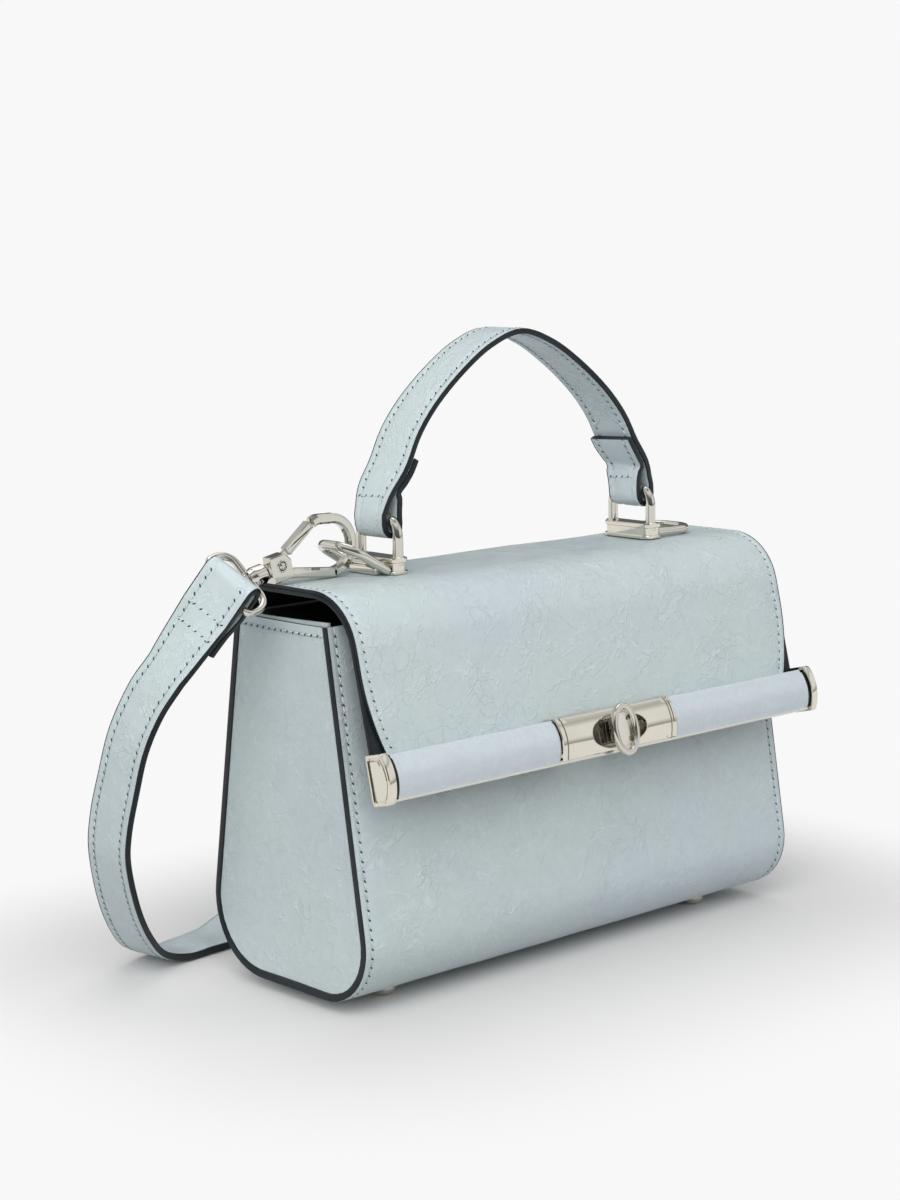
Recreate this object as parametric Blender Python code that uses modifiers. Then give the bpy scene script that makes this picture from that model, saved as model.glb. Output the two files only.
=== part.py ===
"""Crossbody bag: a structured body with a flap, a bar closure with a turn lock, a top handle and a
shoulder strap with two swivel clips.

Metres, +Z up. The origin is the centre of the bottom panel's underside. The front faces -Y, and +X is
on the right of someone who looks at the front. The strap's left end is clipped to the left ring, and
the length that isn't in use is rolled up on its edge behind the bag.
"""

import math

import bmesh
import bpy
from mathutils import Matrix, Vector

# Clearances
FIT = 0.0003  # gap between pieces that touch
RUN = 0.0004  # radial gap of a pin that turns in its hole

# Sheet thicknesses
LEATHER = 0.0015
BOARD = 0.0012
LINING = 0.0008
FLAP_COVER = 0.0012
FLAP_LINING = 0.0008

# Body
BODY_WIDTH = 0.2100
BODY_HEIGHT = 0.1256
TOP_HALF_DEPTH = 0.0242
BASE_HALF_DEPTH = 0.0440
FRONT_CORNER_RADIUS = 0.0210
BACK_CORNER_RADIUS = 0.0250
GUSSET_RECESS = 0.0004
BOARD_MARGIN = 0.0030

# Feet
FOOT_X = 0.0780
FOOT_FRONT_Y = -0.0170
FOOT_BACK_Y = 0.0110
FOOT_RADIUS = 0.0045
FOOT_HEIGHT = 0.0040
FOOT_STEM_RADIUS = 0.0014

# Flap
FLAP_RISE = 0.0112  # from the body's top edge to the flap's top
FLAP_BACK_RADIUS = 0.0090
FLAP_FRONT_Y = -0.0327
FLAP_FRONT_RADIUS = 0.0214
FALL_SLOPE_DEG = 13.44
FALL_LENGTH = 0.0512  # from the flap's sharp front corner to the bar's top

# Bar
BAR_HALF_LENGTH = 0.1060
BAR_OVERHANG = 0.0027  # bar beyond the flap at each end
BAR_HEIGHT = 0.0167
BAR_EDGE_DEPTH = 0.0079
BAR_DEPTH = 0.0103
BAR_BACK = 0.0022  # from the flap's outer face in to the bar's back
CAP_LENGTH = 0.0032
CAP_WALL = 0.0009
CAP_END = 0.0010
SLEEVE_INSET = 0.0008
SLEEVE_THICKNESS = 0.0009
SLEEVE_TOP_START = 0.0030
LIP_HEIGHT = 0.0016
PLATE_HALF_LENGTH = 0.0282
PLATE_INSET = 0.0004
PLATE_THICKNESS = 0.0013
RIB_FROM_END = 0.0022
RIB_WIDTH = 0.0008
RIB_PROUD = 0.0003
CLAMP_DEPTH = 0.0060  # how far the flap's cover reaches into the bar

# Turn lock
WINDOW_LENGTH = 0.0265
WINDOW_HEIGHT = 0.0118
LOCK_BODY_LENGTH = 0.0140
LOCK_BODY_HEIGHT = 0.0085
LOCK_BODY_TOP = 0.0078
POCKET_FLOOR = 0.0030
KNOB_HEIGHT = 0.0180
KNOB_WIDTH = 0.0120
KNOB_WIRE = 0.0026
KNOB_STANDOFF = 0.0006
SHAFT_RADIUS = 0.0016
CAM_LENGTH = 0.0100
CAM_WIDTH = 0.0030
CAM_THICKNESS = 0.0018
KEEPER_HALF_WIDTH = 0.0110
KEEPER_HEIGHT = 0.0205
KEEPER_PLATE = 0.0012
KEEPER_POCKET = 0.0050
SLOT_WIDTH = 0.0046
SLOT_CORNER = 0.0007
SLOT_RISE = 0.0042  # room for the cam to climb as the flap swings open
RIVET_RADIUS = 0.0012
RIVET_X = 0.0085

# Handle brackets
BRACKET_X = 0.0622
BRACKET_Y = -0.0010
RING_PIN_X = 0.0673
BASE_LENGTH = 0.0232
BASE_WIDTH = 0.0080
BASE_HEIGHT = 0.0056
GROOVE = 0.0006
STAPLE_WIRE = 0.0037
STAPLE_SPAN = 0.0190
STAPLE_HEIGHT = 0.0152
STAPLE_CORNER = 0.0070
STAPLE_SEAT = 0.0030
SCREW_RADIUS = 0.0012
SCREW_HEAD_RADIUS = 0.0022
SCREW_HEAD = 0.0009
SCREW_SPACING = 0.0100
BACKING_THICKNESS = 0.0010
RING_WIRE = 0.0032
RING_REACH = 0.0196  # from the ring's pin out to its bow's outer side
RING_WIDTH = 0.0216
RING_CORNER = 0.0068
LUG_LENGTH = 0.0138
LUG_WALL = 0.0011
LEFT_RING_LIFT_DEG = 30.0

# Handle
HANDLE_WIDTH = 0.0195
HANDLE_LOOP_WIDTH = 0.0142
HANDLE_THICKNESS = 0.0022
HANDLE_RISE = 0.0802  # from the flap's top to the handle's
HANDLE_LEAN = 0.0035
HANDLE_SLACK = 0.0028  # from the loops' inner side to the staples
HANDLE_TAB = 0.0150

# Clips
HOOK_WIRE = 0.0035
HOOK_BEND_RADIUS = 0.0091
HOOK_BEND_CENTRE = (0.0225, 0.0007)
HOOK_TIP = (0.0158, 0.0099)
HOOK_BLOCK_LENGTH = 0.0086
HOOK_BLOCK_HEIGHT = 0.0090
HOOK_BLOCK_THICKNESS = 0.0046
NECK_LENGTH = 0.0020
NECK_RADIUS = 0.0021
COLLAR_RADIUS = 0.0033
COLLAR_LENGTH = 0.0050
STEM_RADIUS = 0.0014
STEM_HEAD_RADIUS = 0.0023
STEM_HEAD_LENGTH = 0.0014
EYE_WIRE = 0.0024
EYE_WIDTH = 0.0260
EYE_LENGTH = 0.0114
EYE_CORNER = 0.0062
EYE_BAR_CORNER = 0.0035
GATE_PIN_RADIUS = 0.0014
GATE_PIVOT = (0.0, 0.0018)
GATE_TIP = (0.0142, 0.0092)
GATE_THICKNESS = 0.0016
CLIP_PLACE = (-0.10425, 0.0010)
CLIP_RISE = 0.0059  # from the flap's top to the clip's middle
CLIP_TILT_DEG = 11.5
EYE_ROLL_DEG = 45.0

# Shoulder strap
STRAP_WIDTH = 0.0190
STRAP_THICKNESS = 0.0026
STRAP_TAB = 0.0250
STRAP_STEP = 0.0036
STRAP_LANDING = (-0.1050, 0.0672)
ROLL_CENTRE = (-0.0050, 0.1040)
ROLL_OUTER = 0.0330
ROLL_INNER = 0.0090
ROLL_PITCH = 0.0086  # from turn to turn of one arm, with the other arm between them
FREE_END = (0.0500, 0.1240)
FREE_END_DEG = -32.0
FREE_CLIP_DROOP_DEG = 4.0

FLOOR_Z = -FOOT_HEIGHT
FLAP_TOP_Z = BODY_HEIGHT + FLAP_RISE
FLAP_HALF_WIDTH = BAR_HALF_LENGTH - BAR_OVERHANG
HANDLE_TOP_Z = FLAP_TOP_Z + HANDLE_RISE
MODEL = "crossbody_bag"

X = Vector((1, 0, 0))
Y = Vector((0, 1, 0))
Z = Vector((0, 0, 1))


# Scene helpers
def start_scene():
    for old in list(bpy.data.objects):
        bpy.data.objects.remove(old, do_unlink=True)
    for name in (MODEL, "cutters"):
        bpy.context.scene.collection.children.link(bpy.data.collections.new(name))


def material(name, colour, metallic, roughness):
    made = bpy.data.materials.get(name)
    if made is None:
        made = bpy.data.materials.new(name)
        made.use_nodes = True
        shader = made.node_tree.nodes["Principled BSDF"]
        shader.inputs["Base Color"].default_value = (*colour, 1)
        shader.inputs["Metallic"].default_value = metallic
        shader.inputs["Roughness"].default_value = roughness
    return made


MATERIALS = {
    "leather": ((0.50, 0.61, 0.65), 0.0, 0.42),
    "edge_paint": ((0.018, 0.024, 0.028), 0.0, 0.40),
    "lining": ((0.012, 0.014, 0.016), 0.0, 0.75),
    "board": ((0.23, 0.19, 0.14), 0.0, 0.85),
    "metal": ((0.74, 0.72, 0.67), 1.0, 0.10),
    "steel": ((0.45, 0.44, 0.42), 1.0, 0.35),
}


def finish(obj, name, slot, smooth_deg=35):
    """Name a piece, give it its material and put it in the model's collection."""
    obj.name = name
    obj.data.name = name
    for holder in list(obj.users_collection):
        holder.objects.unlink(obj)
    bpy.data.collections[MODEL].objects.link(obj)
    obj.data.materials.clear()
    obj.data.materials.append(material(f"{name}_{slot}", *MATERIALS[slot]))
    obj.data.shade_smooth()
    obj.data.set_sharp_from_angle(angle=math.radians(smooth_deg))
    return obj


def as_mesh(obj):
    """Replace an object by the mesh of its evaluated shape, in world space."""
    bpy.context.view_layer.update()
    graph = bpy.context.evaluated_depsgraph_get()
    mesh = bpy.data.meshes.new_from_object(obj.evaluated_get(graph))
    mesh.transform(obj.matrix_world)
    name = obj.name
    bpy.data.objects.remove(obj, do_unlink=True)
    work = bmesh.new()
    work.from_mesh(mesh)
    bmesh.ops.remove_doubles(work, verts=work.verts, dist=0.00002)
    bmesh.ops.recalc_face_normals(work, faces=work.faces)
    work.to_mesh(mesh)
    work.free()
    made = bpy.data.objects.new(name, mesh)
    bpy.context.scene.collection.objects.link(made)
    return made


def combine(target, others, operation):
    """Apply Boolean steps to target and remove the tools."""
    for other in others:
        step = target.modifiers.new("cut", "BOOLEAN")
        step.operation = operation
        step.object = other
        other.hide_render = True
        other.display_type = "WIRE"
    made = as_mesh(target)
    for other in others:
        bpy.data.objects.remove(other, do_unlink=True)
    return made


def cut(target, *tools):
    return combine(target, tools, "DIFFERENCE")


def join(target, *tools):
    return combine(target, tools, "UNION")


def frame(origin, x_axis, y_axis):
    """A matrix whose columns are the two given axes, their cross product and the origin."""
    x_axis = x_axis.normalized()
    y_axis = y_axis.normalized()
    made = Matrix((x_axis, y_axis, x_axis.cross(y_axis))).transposed().to_4x4()
    made.translation = origin
    return made


# Local x, y and z are the world's Y, Z and X, so an outline drawn as (y, z) is extruded along X.
SIDE_VIEW = frame(Vector((0, 0, 0)), Y, Z)


def prism(outline, low, high, placing=SIDE_VIEW):
    """A flat outline extruded between two heights of its own local z."""
    curve = bpy.data.curves.new("outline", "CURVE")
    curve.dimensions = "2D"
    curve.fill_mode = "BOTH"
    curve.extrude = (high - low) / 2
    line = curve.splines.new("POLY")
    line.points.add(len(outline) - 1)
    for point, (a, b) in zip(line.points, outline):
        point.co = (a, b, 0, 1)
    line.use_cyclic_u = True
    obj = bpy.data.objects.new("outline", curve)
    bpy.context.scene.collection.objects.link(obj)
    obj.matrix_world = placing @ Matrix.Translation((0, 0, (low + high) / 2))
    return as_mesh(obj)


def box(low, high, placing=None):
    """A box between two corners, in the given frame."""
    mesh = bpy.data.meshes.new("box")
    work = bmesh.new()
    bmesh.ops.create_cube(work, size=1)
    size = Vector(high) - Vector(low)
    centre = (Vector(high) + Vector(low)) / 2
    shape = Matrix.Translation(centre) @ Matrix.Diagonal((*size, 1))
    bmesh.ops.transform(work, matrix=(placing or Matrix()) @ shape, verts=work.verts)
    work.to_mesh(mesh)
    work.free()
    obj = bpy.data.objects.new("box", mesh)
    bpy.context.scene.collection.objects.link(obj)
    return obj


def cylinder(radius, low, high, placing, sides=20):
    """A cylinder along local z between two heights."""
    mesh = bpy.data.meshes.new("cylinder")
    work = bmesh.new()
    bmesh.ops.create_cone(
        work, cap_ends=True, segments=sides, radius1=radius, radius2=radius, depth=high - low
    )
    shape = placing @ Matrix.Translation((0, 0, (low + high) / 2))
    bmesh.ops.transform(work, matrix=shape, verts=work.verts)
    work.to_mesh(mesh)
    work.free()
    obj = bpy.data.objects.new("cylinder", mesh)
    bpy.context.scene.collection.objects.link(obj)
    return obj


def turned(profile, placing, steps=24):
    """A profile of (radius, height) pairs, listed from its top down, turned about local z."""
    mesh = bpy.data.meshes.new("turned")
    points = [(radius, 0, height) for radius, height in profile]
    mesh.from_pydata(points, [(i, i + 1) for i in range(len(points) - 1)], [])
    obj = bpy.data.objects.new("turned", mesh)
    bpy.context.scene.collection.objects.link(obj)
    screw = obj.modifiers.new("screw", "SCREW")
    screw.steps = screw.render_steps = steps
    screw.use_merge_vertices = True
    screw.merge_threshold = 0.00002
    obj.matrix_world = placing
    return as_mesh(obj)


def wire(points, diameter, closed=False, resolution=2, placing=None):
    """A round wire along points."""
    curve = bpy.data.curves.new("wire", "CURVE")
    curve.dimensions = "3D"
    curve.bevel_depth = diameter / 2
    curve.bevel_resolution = resolution
    curve.use_fill_caps = True
    line = curve.splines.new("POLY")
    line.points.add(len(points) - 1)
    for point, place in zip(line.points, points):
        point.co = (*place, 1)
    line.use_cyclic_u = closed
    obj = bpy.data.objects.new("wire", curve)
    bpy.context.scene.collection.objects.link(obj)
    obj.matrix_world = placing or Matrix()
    return as_mesh(obj)


# Outline helpers, all on (a, b) pairs
def arc(centre, radius, start_deg, end_deg, steps):
    """Points on a circle from one angle to another."""
    angles = [math.radians(start_deg + (end_deg - start_deg) * i / steps) for i in range(steps + 1)]
    return [(centre[0] + radius * math.cos(a), centre[1] + radius * math.sin(a)) for a in angles]


def unit(start, end):
    length = math.hypot(end[0] - start[0], end[1] - start[1])
    return ((end[0] - start[0]) / length, (end[1] - start[1]) / length)


def shifted(corners, distances):
    """A corner line moved sideways, to the left of its direction, by one distance a segment."""
    lines = []
    for start, end, distance in zip(corners, corners[1:], distances):
        run = unit(start, end)
        move = (-run[1] * distance, run[0] * distance)
        lines.append(((start[0] + move[0], start[1] + move[1]), run))
    moved = [lines[0][0]]
    for (p, r), (q, s) in zip(lines, lines[1:]):
        cross = r[0] * s[1] - r[1] * s[0]
        t = ((q[0] - p[0]) * s[1] - (q[1] - p[1]) * s[0]) / cross
        moved.append((p[0] + r[0] * t, p[1] + r[1] * t))
    last, run = lines[-1]
    length = math.dist(corners[-2], corners[-1])
    end = corners[-1]
    moved.append((end[0] - run[1] * distances[-1], end[1] + run[0] * distances[-1]))
    return moved


def filleted(corners, radii, steps=6):
    """A corner line with its inner corners rounded."""
    made = [corners[0]]
    for before, corner, after, radius in zip(corners, corners[1:], corners[2:], radii):
        into, out = unit(before, corner), unit(corner, after)
        turn = math.atan2(into[0] * out[1] - into[1] * out[0], into[0] * out[0] + into[1] * out[1])
        reach = radius * math.tan(abs(turn) / 2)
        side = 1 if turn > 0 else -1
        start = (corner[0] - into[0] * reach, corner[1] - into[1] * reach)
        centre = (start[0] - into[1] * radius * side, start[1] + into[0] * radius * side)
        first = math.degrees(math.atan2(start[1] - centre[1], start[0] - centre[0]))
        made += arc(centre, radius, first, first + math.degrees(turn), steps)
    return made + [corners[-1]]


def layer(corners, radii, near, thickness, steps=6):
    """The outline of a bent sheet that starts a distance in from a corner line's left side."""
    count = len(corners) - 1
    outer = filleted(shifted(corners, [near] * count), [r - near for r in radii], steps)
    far = near + thickness
    inner = filleted(shifted(corners, [far] * count), [r - far for r in radii], steps)
    return outer + inner[::-1]


def stadium(length, height, steps=10):
    """An oblong with round ends, centred on zero and long in its first coordinate."""
    reach = (length - height) / 2
    right = arc((reach, 0), height / 2, -90, 90, steps)
    left = arc((-reach, 0), height / 2, 90, 270, steps)
    return right + left


def round_rectangle(width, height, radius, steps=4):
    """A rectangle with round corners, centred on zero."""
    w, h = width / 2 - radius, height / 2 - radius
    corners = [((w, -h), -90), ((w, h), 0), ((-w, h), 90), ((-w, -h), 180)]
    return [p for centre, first in corners for p in arc(centre, radius, first, first + 90, steps)]


# Body outline, from the front's top edge down, under the bottom and up the back
WALL_SLOPE = (BASE_HALF_DEPTH - TOP_HALF_DEPTH) / BODY_HEIGHT
WALL_LEAN = math.atan(WALL_SLOPE)
CORNER_REACH = math.tan((math.pi / 2 + WALL_LEAN) / 2)  # along the bottom, for a radius of 1
BODY_CORNERS = [
    (-TOP_HALF_DEPTH, BODY_HEIGHT),
    (-BASE_HALF_DEPTH, 0),
    (BASE_HALF_DEPTH, 0),
    (TOP_HALF_DEPTH, BODY_HEIGHT),
]
BODY_RADII = [FRONT_CORNER_RADIUS, BACK_CORNER_RADIUS]
BOARD_IN = LEATHER + FIT
LINING_IN = BOARD_IN + BOARD + FIT
GUSSET_OUTER_X = BODY_WIDTH / 2 - GUSSET_RECESS
GUSSET_INNER_X = GUSSET_OUTER_X - LEATHER
LINING_X = GUSSET_INNER_X - FIT


def front_y(z):
    """The front panel's outer face at a height."""
    return -(BASE_HALF_DEPTH - WALL_SLOPE * z)


def body_outline(inset, top=BODY_HEIGHT):
    """The body's section, inset, with its top at a height."""
    line = filleted(shifted(BODY_CORNERS, [inset] * 3), [r - inset for r in BODY_RADII])
    narrow = (line[-1][1] - top) * WALL_SLOPE
    return [(line[0][0] - narrow, top)] + line[1:-1] + [(line[-1][0] + narrow, top)]


# The flap's outer line: up from the back's top edge, over the top and down to the bar
FALL_DIRECTION = (-math.sin(math.radians(FALL_SLOPE_DEG)), -math.cos(math.radians(FALL_SLOPE_DEG)))
HINGE_Y = TOP_HALF_DEPTH
HINGE_Z = BODY_HEIGHT + FIT / 2
FLAP_REACH = FLAP_FRONT_RADIUS * math.tan(math.radians(90 - FALL_SLOPE_DEG) / 2)


def fall_point(distance, outward=0.0):
    """A point on the fall, by its distance from the flap's sharp front corner."""
    return (
        FLAP_FRONT_Y + FALL_DIRECTION[0] * distance + FALL_DIRECTION[1] * outward,
        FLAP_TOP_Z + FALL_DIRECTION[1] * distance - FALL_DIRECTION[0] * outward,
    )


FLAP_CORNERS = [
    (TOP_HALF_DEPTH - WALL_SLOPE * FIT, BODY_HEIGHT + FIT),
    (TOP_HALF_DEPTH - WALL_SLOPE * (FLAP_TOP_Z - BODY_HEIGHT), FLAP_TOP_Z),
    (FLAP_FRONT_Y, FLAP_TOP_Z),
    fall_point(FLAP_REACH + FIT),
]
FLAP_RADII = [FLAP_BACK_RADIUS, FLAP_FRONT_RADIUS]
BEND = fall_point(FLAP_REACH + 1.5 * FIT)
FALL_START = FLAP_REACH + 2 * FIT

# The bar's frame: u out from its back, v up from its bottom
BAR_BOTTOM = FALL_LENGTH + BAR_HEIGHT


def bar_point(u, v):
    """A point of the bar's section as (y, z)."""
    return fall_point(BAR_BOTTOM - v, u - BAR_BACK)


def bar_outline(inset, steps=12):
    """The bar's D section as (u, v), from its back's bottom round the front to its back's top."""
    edge, depth = BAR_EDGE_DEPTH - inset, BAR_DEPTH - inset
    half = BAR_HEIGHT / 2 - inset
    bulge = depth - edge
    radius = (half * half + bulge * bulge) / (2 * bulge)
    spread = math.degrees(math.asin(half / radius))
    front = arc((depth - radius, BAR_HEIGHT / 2), radius, -spread, spread, steps)
    return [(inset, inset)] + front + [(inset, BAR_HEIGHT - inset)]


def bar_prism(outline, low, high):
    return prism([bar_point(u, v) for u, v in outline], low, high)


def bar_band(outer_inset, thickness, short=0.0):
    """A band over the bar's top and front, from the core's lip to behind the flap's slot."""
    low, back = LIP_HEIGHT + FIT + short, SLEEVE_TOP_START + short

    def path(inset):
        line = [p for p in bar_outline(inset)[1:-1] if p[1] > low + 0.0002]
        return [(line[0][0] - 0.0001, low)] + line + [(back, BAR_HEIGHT - inset)]

    return path(outer_inset) + path(outer_inset + thickness)[::-1]


LOCK_V = BAR_HEIGHT / 2
LOCK_ORIGIN = Vector((0, *bar_point(0, LOCK_V)))
BAR_UP = Vector((0, -FALL_DIRECTION[0], -FALL_DIRECTION[1]))
LOCK_FRAME = frame(LOCK_ORIGIN, X, BAR_UP)  # local z points out of the bar's front
KNOB_U = BAR_DEPTH + KNOB_STANDOFF + KNOB_WIRE / 2
KEEPER_FRONT = -FIT
CAM_FRONT = KEEPER_FRONT - KEEPER_PLATE - FIT * 2
CAM_BACK = CAM_FRONT - CAM_THICKNESS


def make_body():
    half = BODY_WIDTH / 2
    stems = foot_places()
    wrap = prism(layer(BODY_CORNERS, BODY_RADII, 0, LEATHER), -half, half)
    stem_cuts = [
        cylinder(FOOT_STEM_RADIUS + FIT, -0.002, 0.008, Matrix.Translation(place)) for place in stems
    ]
    rivet_cuts = [rivet(x, v, RIVET_RADIUS + FIT, -0.02) for x, v in rivet_places()]
    wrap = cut(wrap, *stem_cuts, *rivet_cuts)
    finish(wrap, "body_wrap", "leather")

    for side, name in ((-1, "gusset_left"), (1, "gusset_right")):
        low, high = sorted((side * GUSSET_OUTER_X, side * GUSSET_INNER_X))
        finish(prism(body_outline(LEATHER + FIT), low, high), name, "leather")

    board_half = LINING_X - BOARD_MARGIN
    flat_front = FRONT_CORNER_RADIUS * CORNER_REACH - BASE_HALF_DEPTH
    flat_back = BASE_HALF_DEPTH - BACK_CORNER_RADIUS * CORNER_REACH
    plate = box((-board_half, flat_front, BOARD_IN), (board_half, flat_back, BOARD_IN + BOARD))
    stem_cuts = [
        cylinder(FOOT_STEM_RADIUS + FIT, -0.002, 0.008, Matrix.Translation(place)) for place in stems
    ]
    finish(cut(plate, *stem_cuts), "base_board", "board")

    top = BODY_HEIGHT - BOARD_MARGIN
    walls = (
        (-1, "front_board", FRONT_CORNER_RADIUS),
        (1, "back_board", BACK_CORNER_RADIUS),
    )
    for side, name, radius in walls:
        low_z = radius * (1 + math.sin(WALL_LEAN))
        line = [(-side * front_y(top), top), (-side * front_y(low_z), low_z)]
        if side > 0:
            line = line[::-1]
        sheet = prism(layer(line, [], BOARD_IN, BOARD), -board_half, board_half)
        if side < 0:
            window = KEEPER_HALF_WIDTH + FIT
            low_v, high_v = -FIT, KEEPER_HEIGHT + FIT
            tool = box((-window, low_v - LOCK_V, -0.020), (window, high_v - LOCK_V, 0), LOCK_FRAME)
            sheet = cut(sheet, tool)
        finish(sheet, name, "board")

    outer = prism(body_outline(LINING_IN), -LINING_X, LINING_X)
    room = LINING_X - LINING
    inner = prism(body_outline(LINING_IN + LINING, BODY_HEIGHT + 0.004), -room, room)
    finish(cut(outer, inner), "lining", "lining")


def foot_places():
    return [
        Vector((side * FOOT_X, y, 0)) for y in (FOOT_FRONT_Y, FOOT_BACK_Y) for side in (-1, 1)
    ]


def make_feet():
    names = ("foot_front_left", "foot_front_right", "foot_back_left", "foot_back_right")
    stem_top = BOARD_IN + BOARD - FIT / 3
    for name, place in zip(names, foot_places()):
        dome = [(0.0, stem_top), (FOOT_STEM_RADIUS, stem_top), (FOOT_STEM_RADIUS, -FIT)]
        dome += [(FOOT_RADIUS, -FIT), (FOOT_RADIUS, -FOOT_HEIGHT * 0.4)]
        flat = FOOT_RADIUS * 0.45
        round_part = FOOT_RADIUS - flat
        for i in range(1, 5):
            angle = math.radians(90 * i / 4)
            drop = FOOT_HEIGHT * 0.6 * math.sin(angle)
            dome.append((flat + round_part * math.cos(angle), -FOOT_HEIGHT * 0.4 - drop))
        dome.append((0.0, -FOOT_HEIGHT))
        finish(turned(dome, Matrix.Translation(place)), name, "metal")


def rivet_places():
    return [(side * RIVET_X, v) for v in (0.0025, KEEPER_HEIGHT - 0.0025) for side in (-1, 1)]


def panel_u(v, depth):
    """How far out from the bar's back, along its normal, the front panel is at a depth."""
    def depth_at(u):
        y, z = bar_point(u, v)
        return (y - front_y(z)) * math.cos(WALL_LEAN)

    per_u = (depth_at(-0.01) - depth_at(0)) / -0.01
    return (depth - depth_at(0)) / per_u


def rivet(x, v, radius, low):
    """A rivet's shank, square to the bar's back, from a depth behind it to the keeper's flange."""
    placing = LOCK_FRAME @ Matrix.Translation((x, v - LOCK_V, 0))
    return cylinder(radius, low, CAM_BACK - 0.002, placing, sides=12)


def keeper_outline():
    """The keeper's section: its front is parallel to the bar and its back lies on the front panel."""
    front = KEEPER_FRONT - KEEPER_PLATE - FIT
    made = [bar_point(front, KEEPER_HEIGHT), bar_point(front, 0)]
    run = (FALL_DIRECTION[1], -FALL_DIRECTION[0])
    for y, z in (made[1], made[0]):
        gap = FIT * 1.02
        travel = (front_y(z) - gap - y) / (-run[0] + WALL_SLOPE * run[1])
        made.append((y - run[0] * travel, z - run[1] * travel))
    return made


def make_keeper():
    body = prism(keeper_outline(), -KEEPER_HALF_WIDTH, KEEPER_HALF_WIDTH)
    front = KEEPER_FRONT - KEEPER_PLATE - FIT
    slot_low = -CAM_LENGTH / 2 - FIT * 2
    slot_high = CAM_LENGTH / 2 + SLOT_RISE
    swing = CAM_LENGTH / 2 + FIT * 2
    room = (-swing, slot_low, front - KEEPER_POCKET), (swing, slot_high, front + 0.001)
    holes = [rivet(x, v, RIVET_RADIUS + FIT, -0.02) for x, v in rivet_places()]
    finish(cut(body, box(*room, LOCK_FRAME), *holes), "lock_keeper", "metal")

    low, high = -LOCK_V, KEEPER_HEIGHT - LOCK_V
    plate = box(
        (-KEEPER_HALF_WIDTH, low, KEEPER_FRONT - KEEPER_PLATE),
        (KEEPER_HALF_WIDTH, high, KEEPER_FRONT),
        LOCK_FRAME,
    )
    middle = (slot_low + slot_high) / 2
    opening = round_rectangle(SLOT_WIDTH, slot_high - slot_low, SLOT_CORNER)
    placing = LOCK_FRAME @ Matrix.Translation((0, middle, 0))
    finish(cut(plate, prism(opening, -0.004, 0.002, placing)), "keeper_plate", "metal")

    for number, (x, v) in enumerate(rivet_places(), 1):
        shank = rivet(x, v, RIVET_RADIUS, panel_u(v, LINING_IN - 2 * FIT))
        finish(shank, f"keeper_rivet_{number}", "steel")


def make_flap():
    half = FLAP_HALF_WIDTH
    cover = prism(layer(FLAP_CORNERS, FLAP_RADII, 0, FLAP_COVER, 10), -half, half)
    finish(cut(cover, *screw_cuts()), "flap_cover", "leather")
    under = FLAP_COVER + FIT
    lining = prism(layer(FLAP_CORNERS, FLAP_RADII, under, FLAP_LINING, 10), -half, half)
    finish(cut(lining, *screw_cuts()), "flap_lining", "lining")

    fall = [fall_point(FALL_START), fall_point(FALL_LENGTH + CLAMP_DEPTH)]
    clamped = half - 0.0018
    finish(prism(layer(fall, [], 0, FLAP_COVER), -clamped, clamped), "fall_cover", "leather")
    fall = [fall_point(FALL_START), fall_point(FALL_LENGTH - FIT)]
    finish(prism(layer(fall, [], under, FLAP_LINING), -half, half), "fall_lining", "lining")


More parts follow.
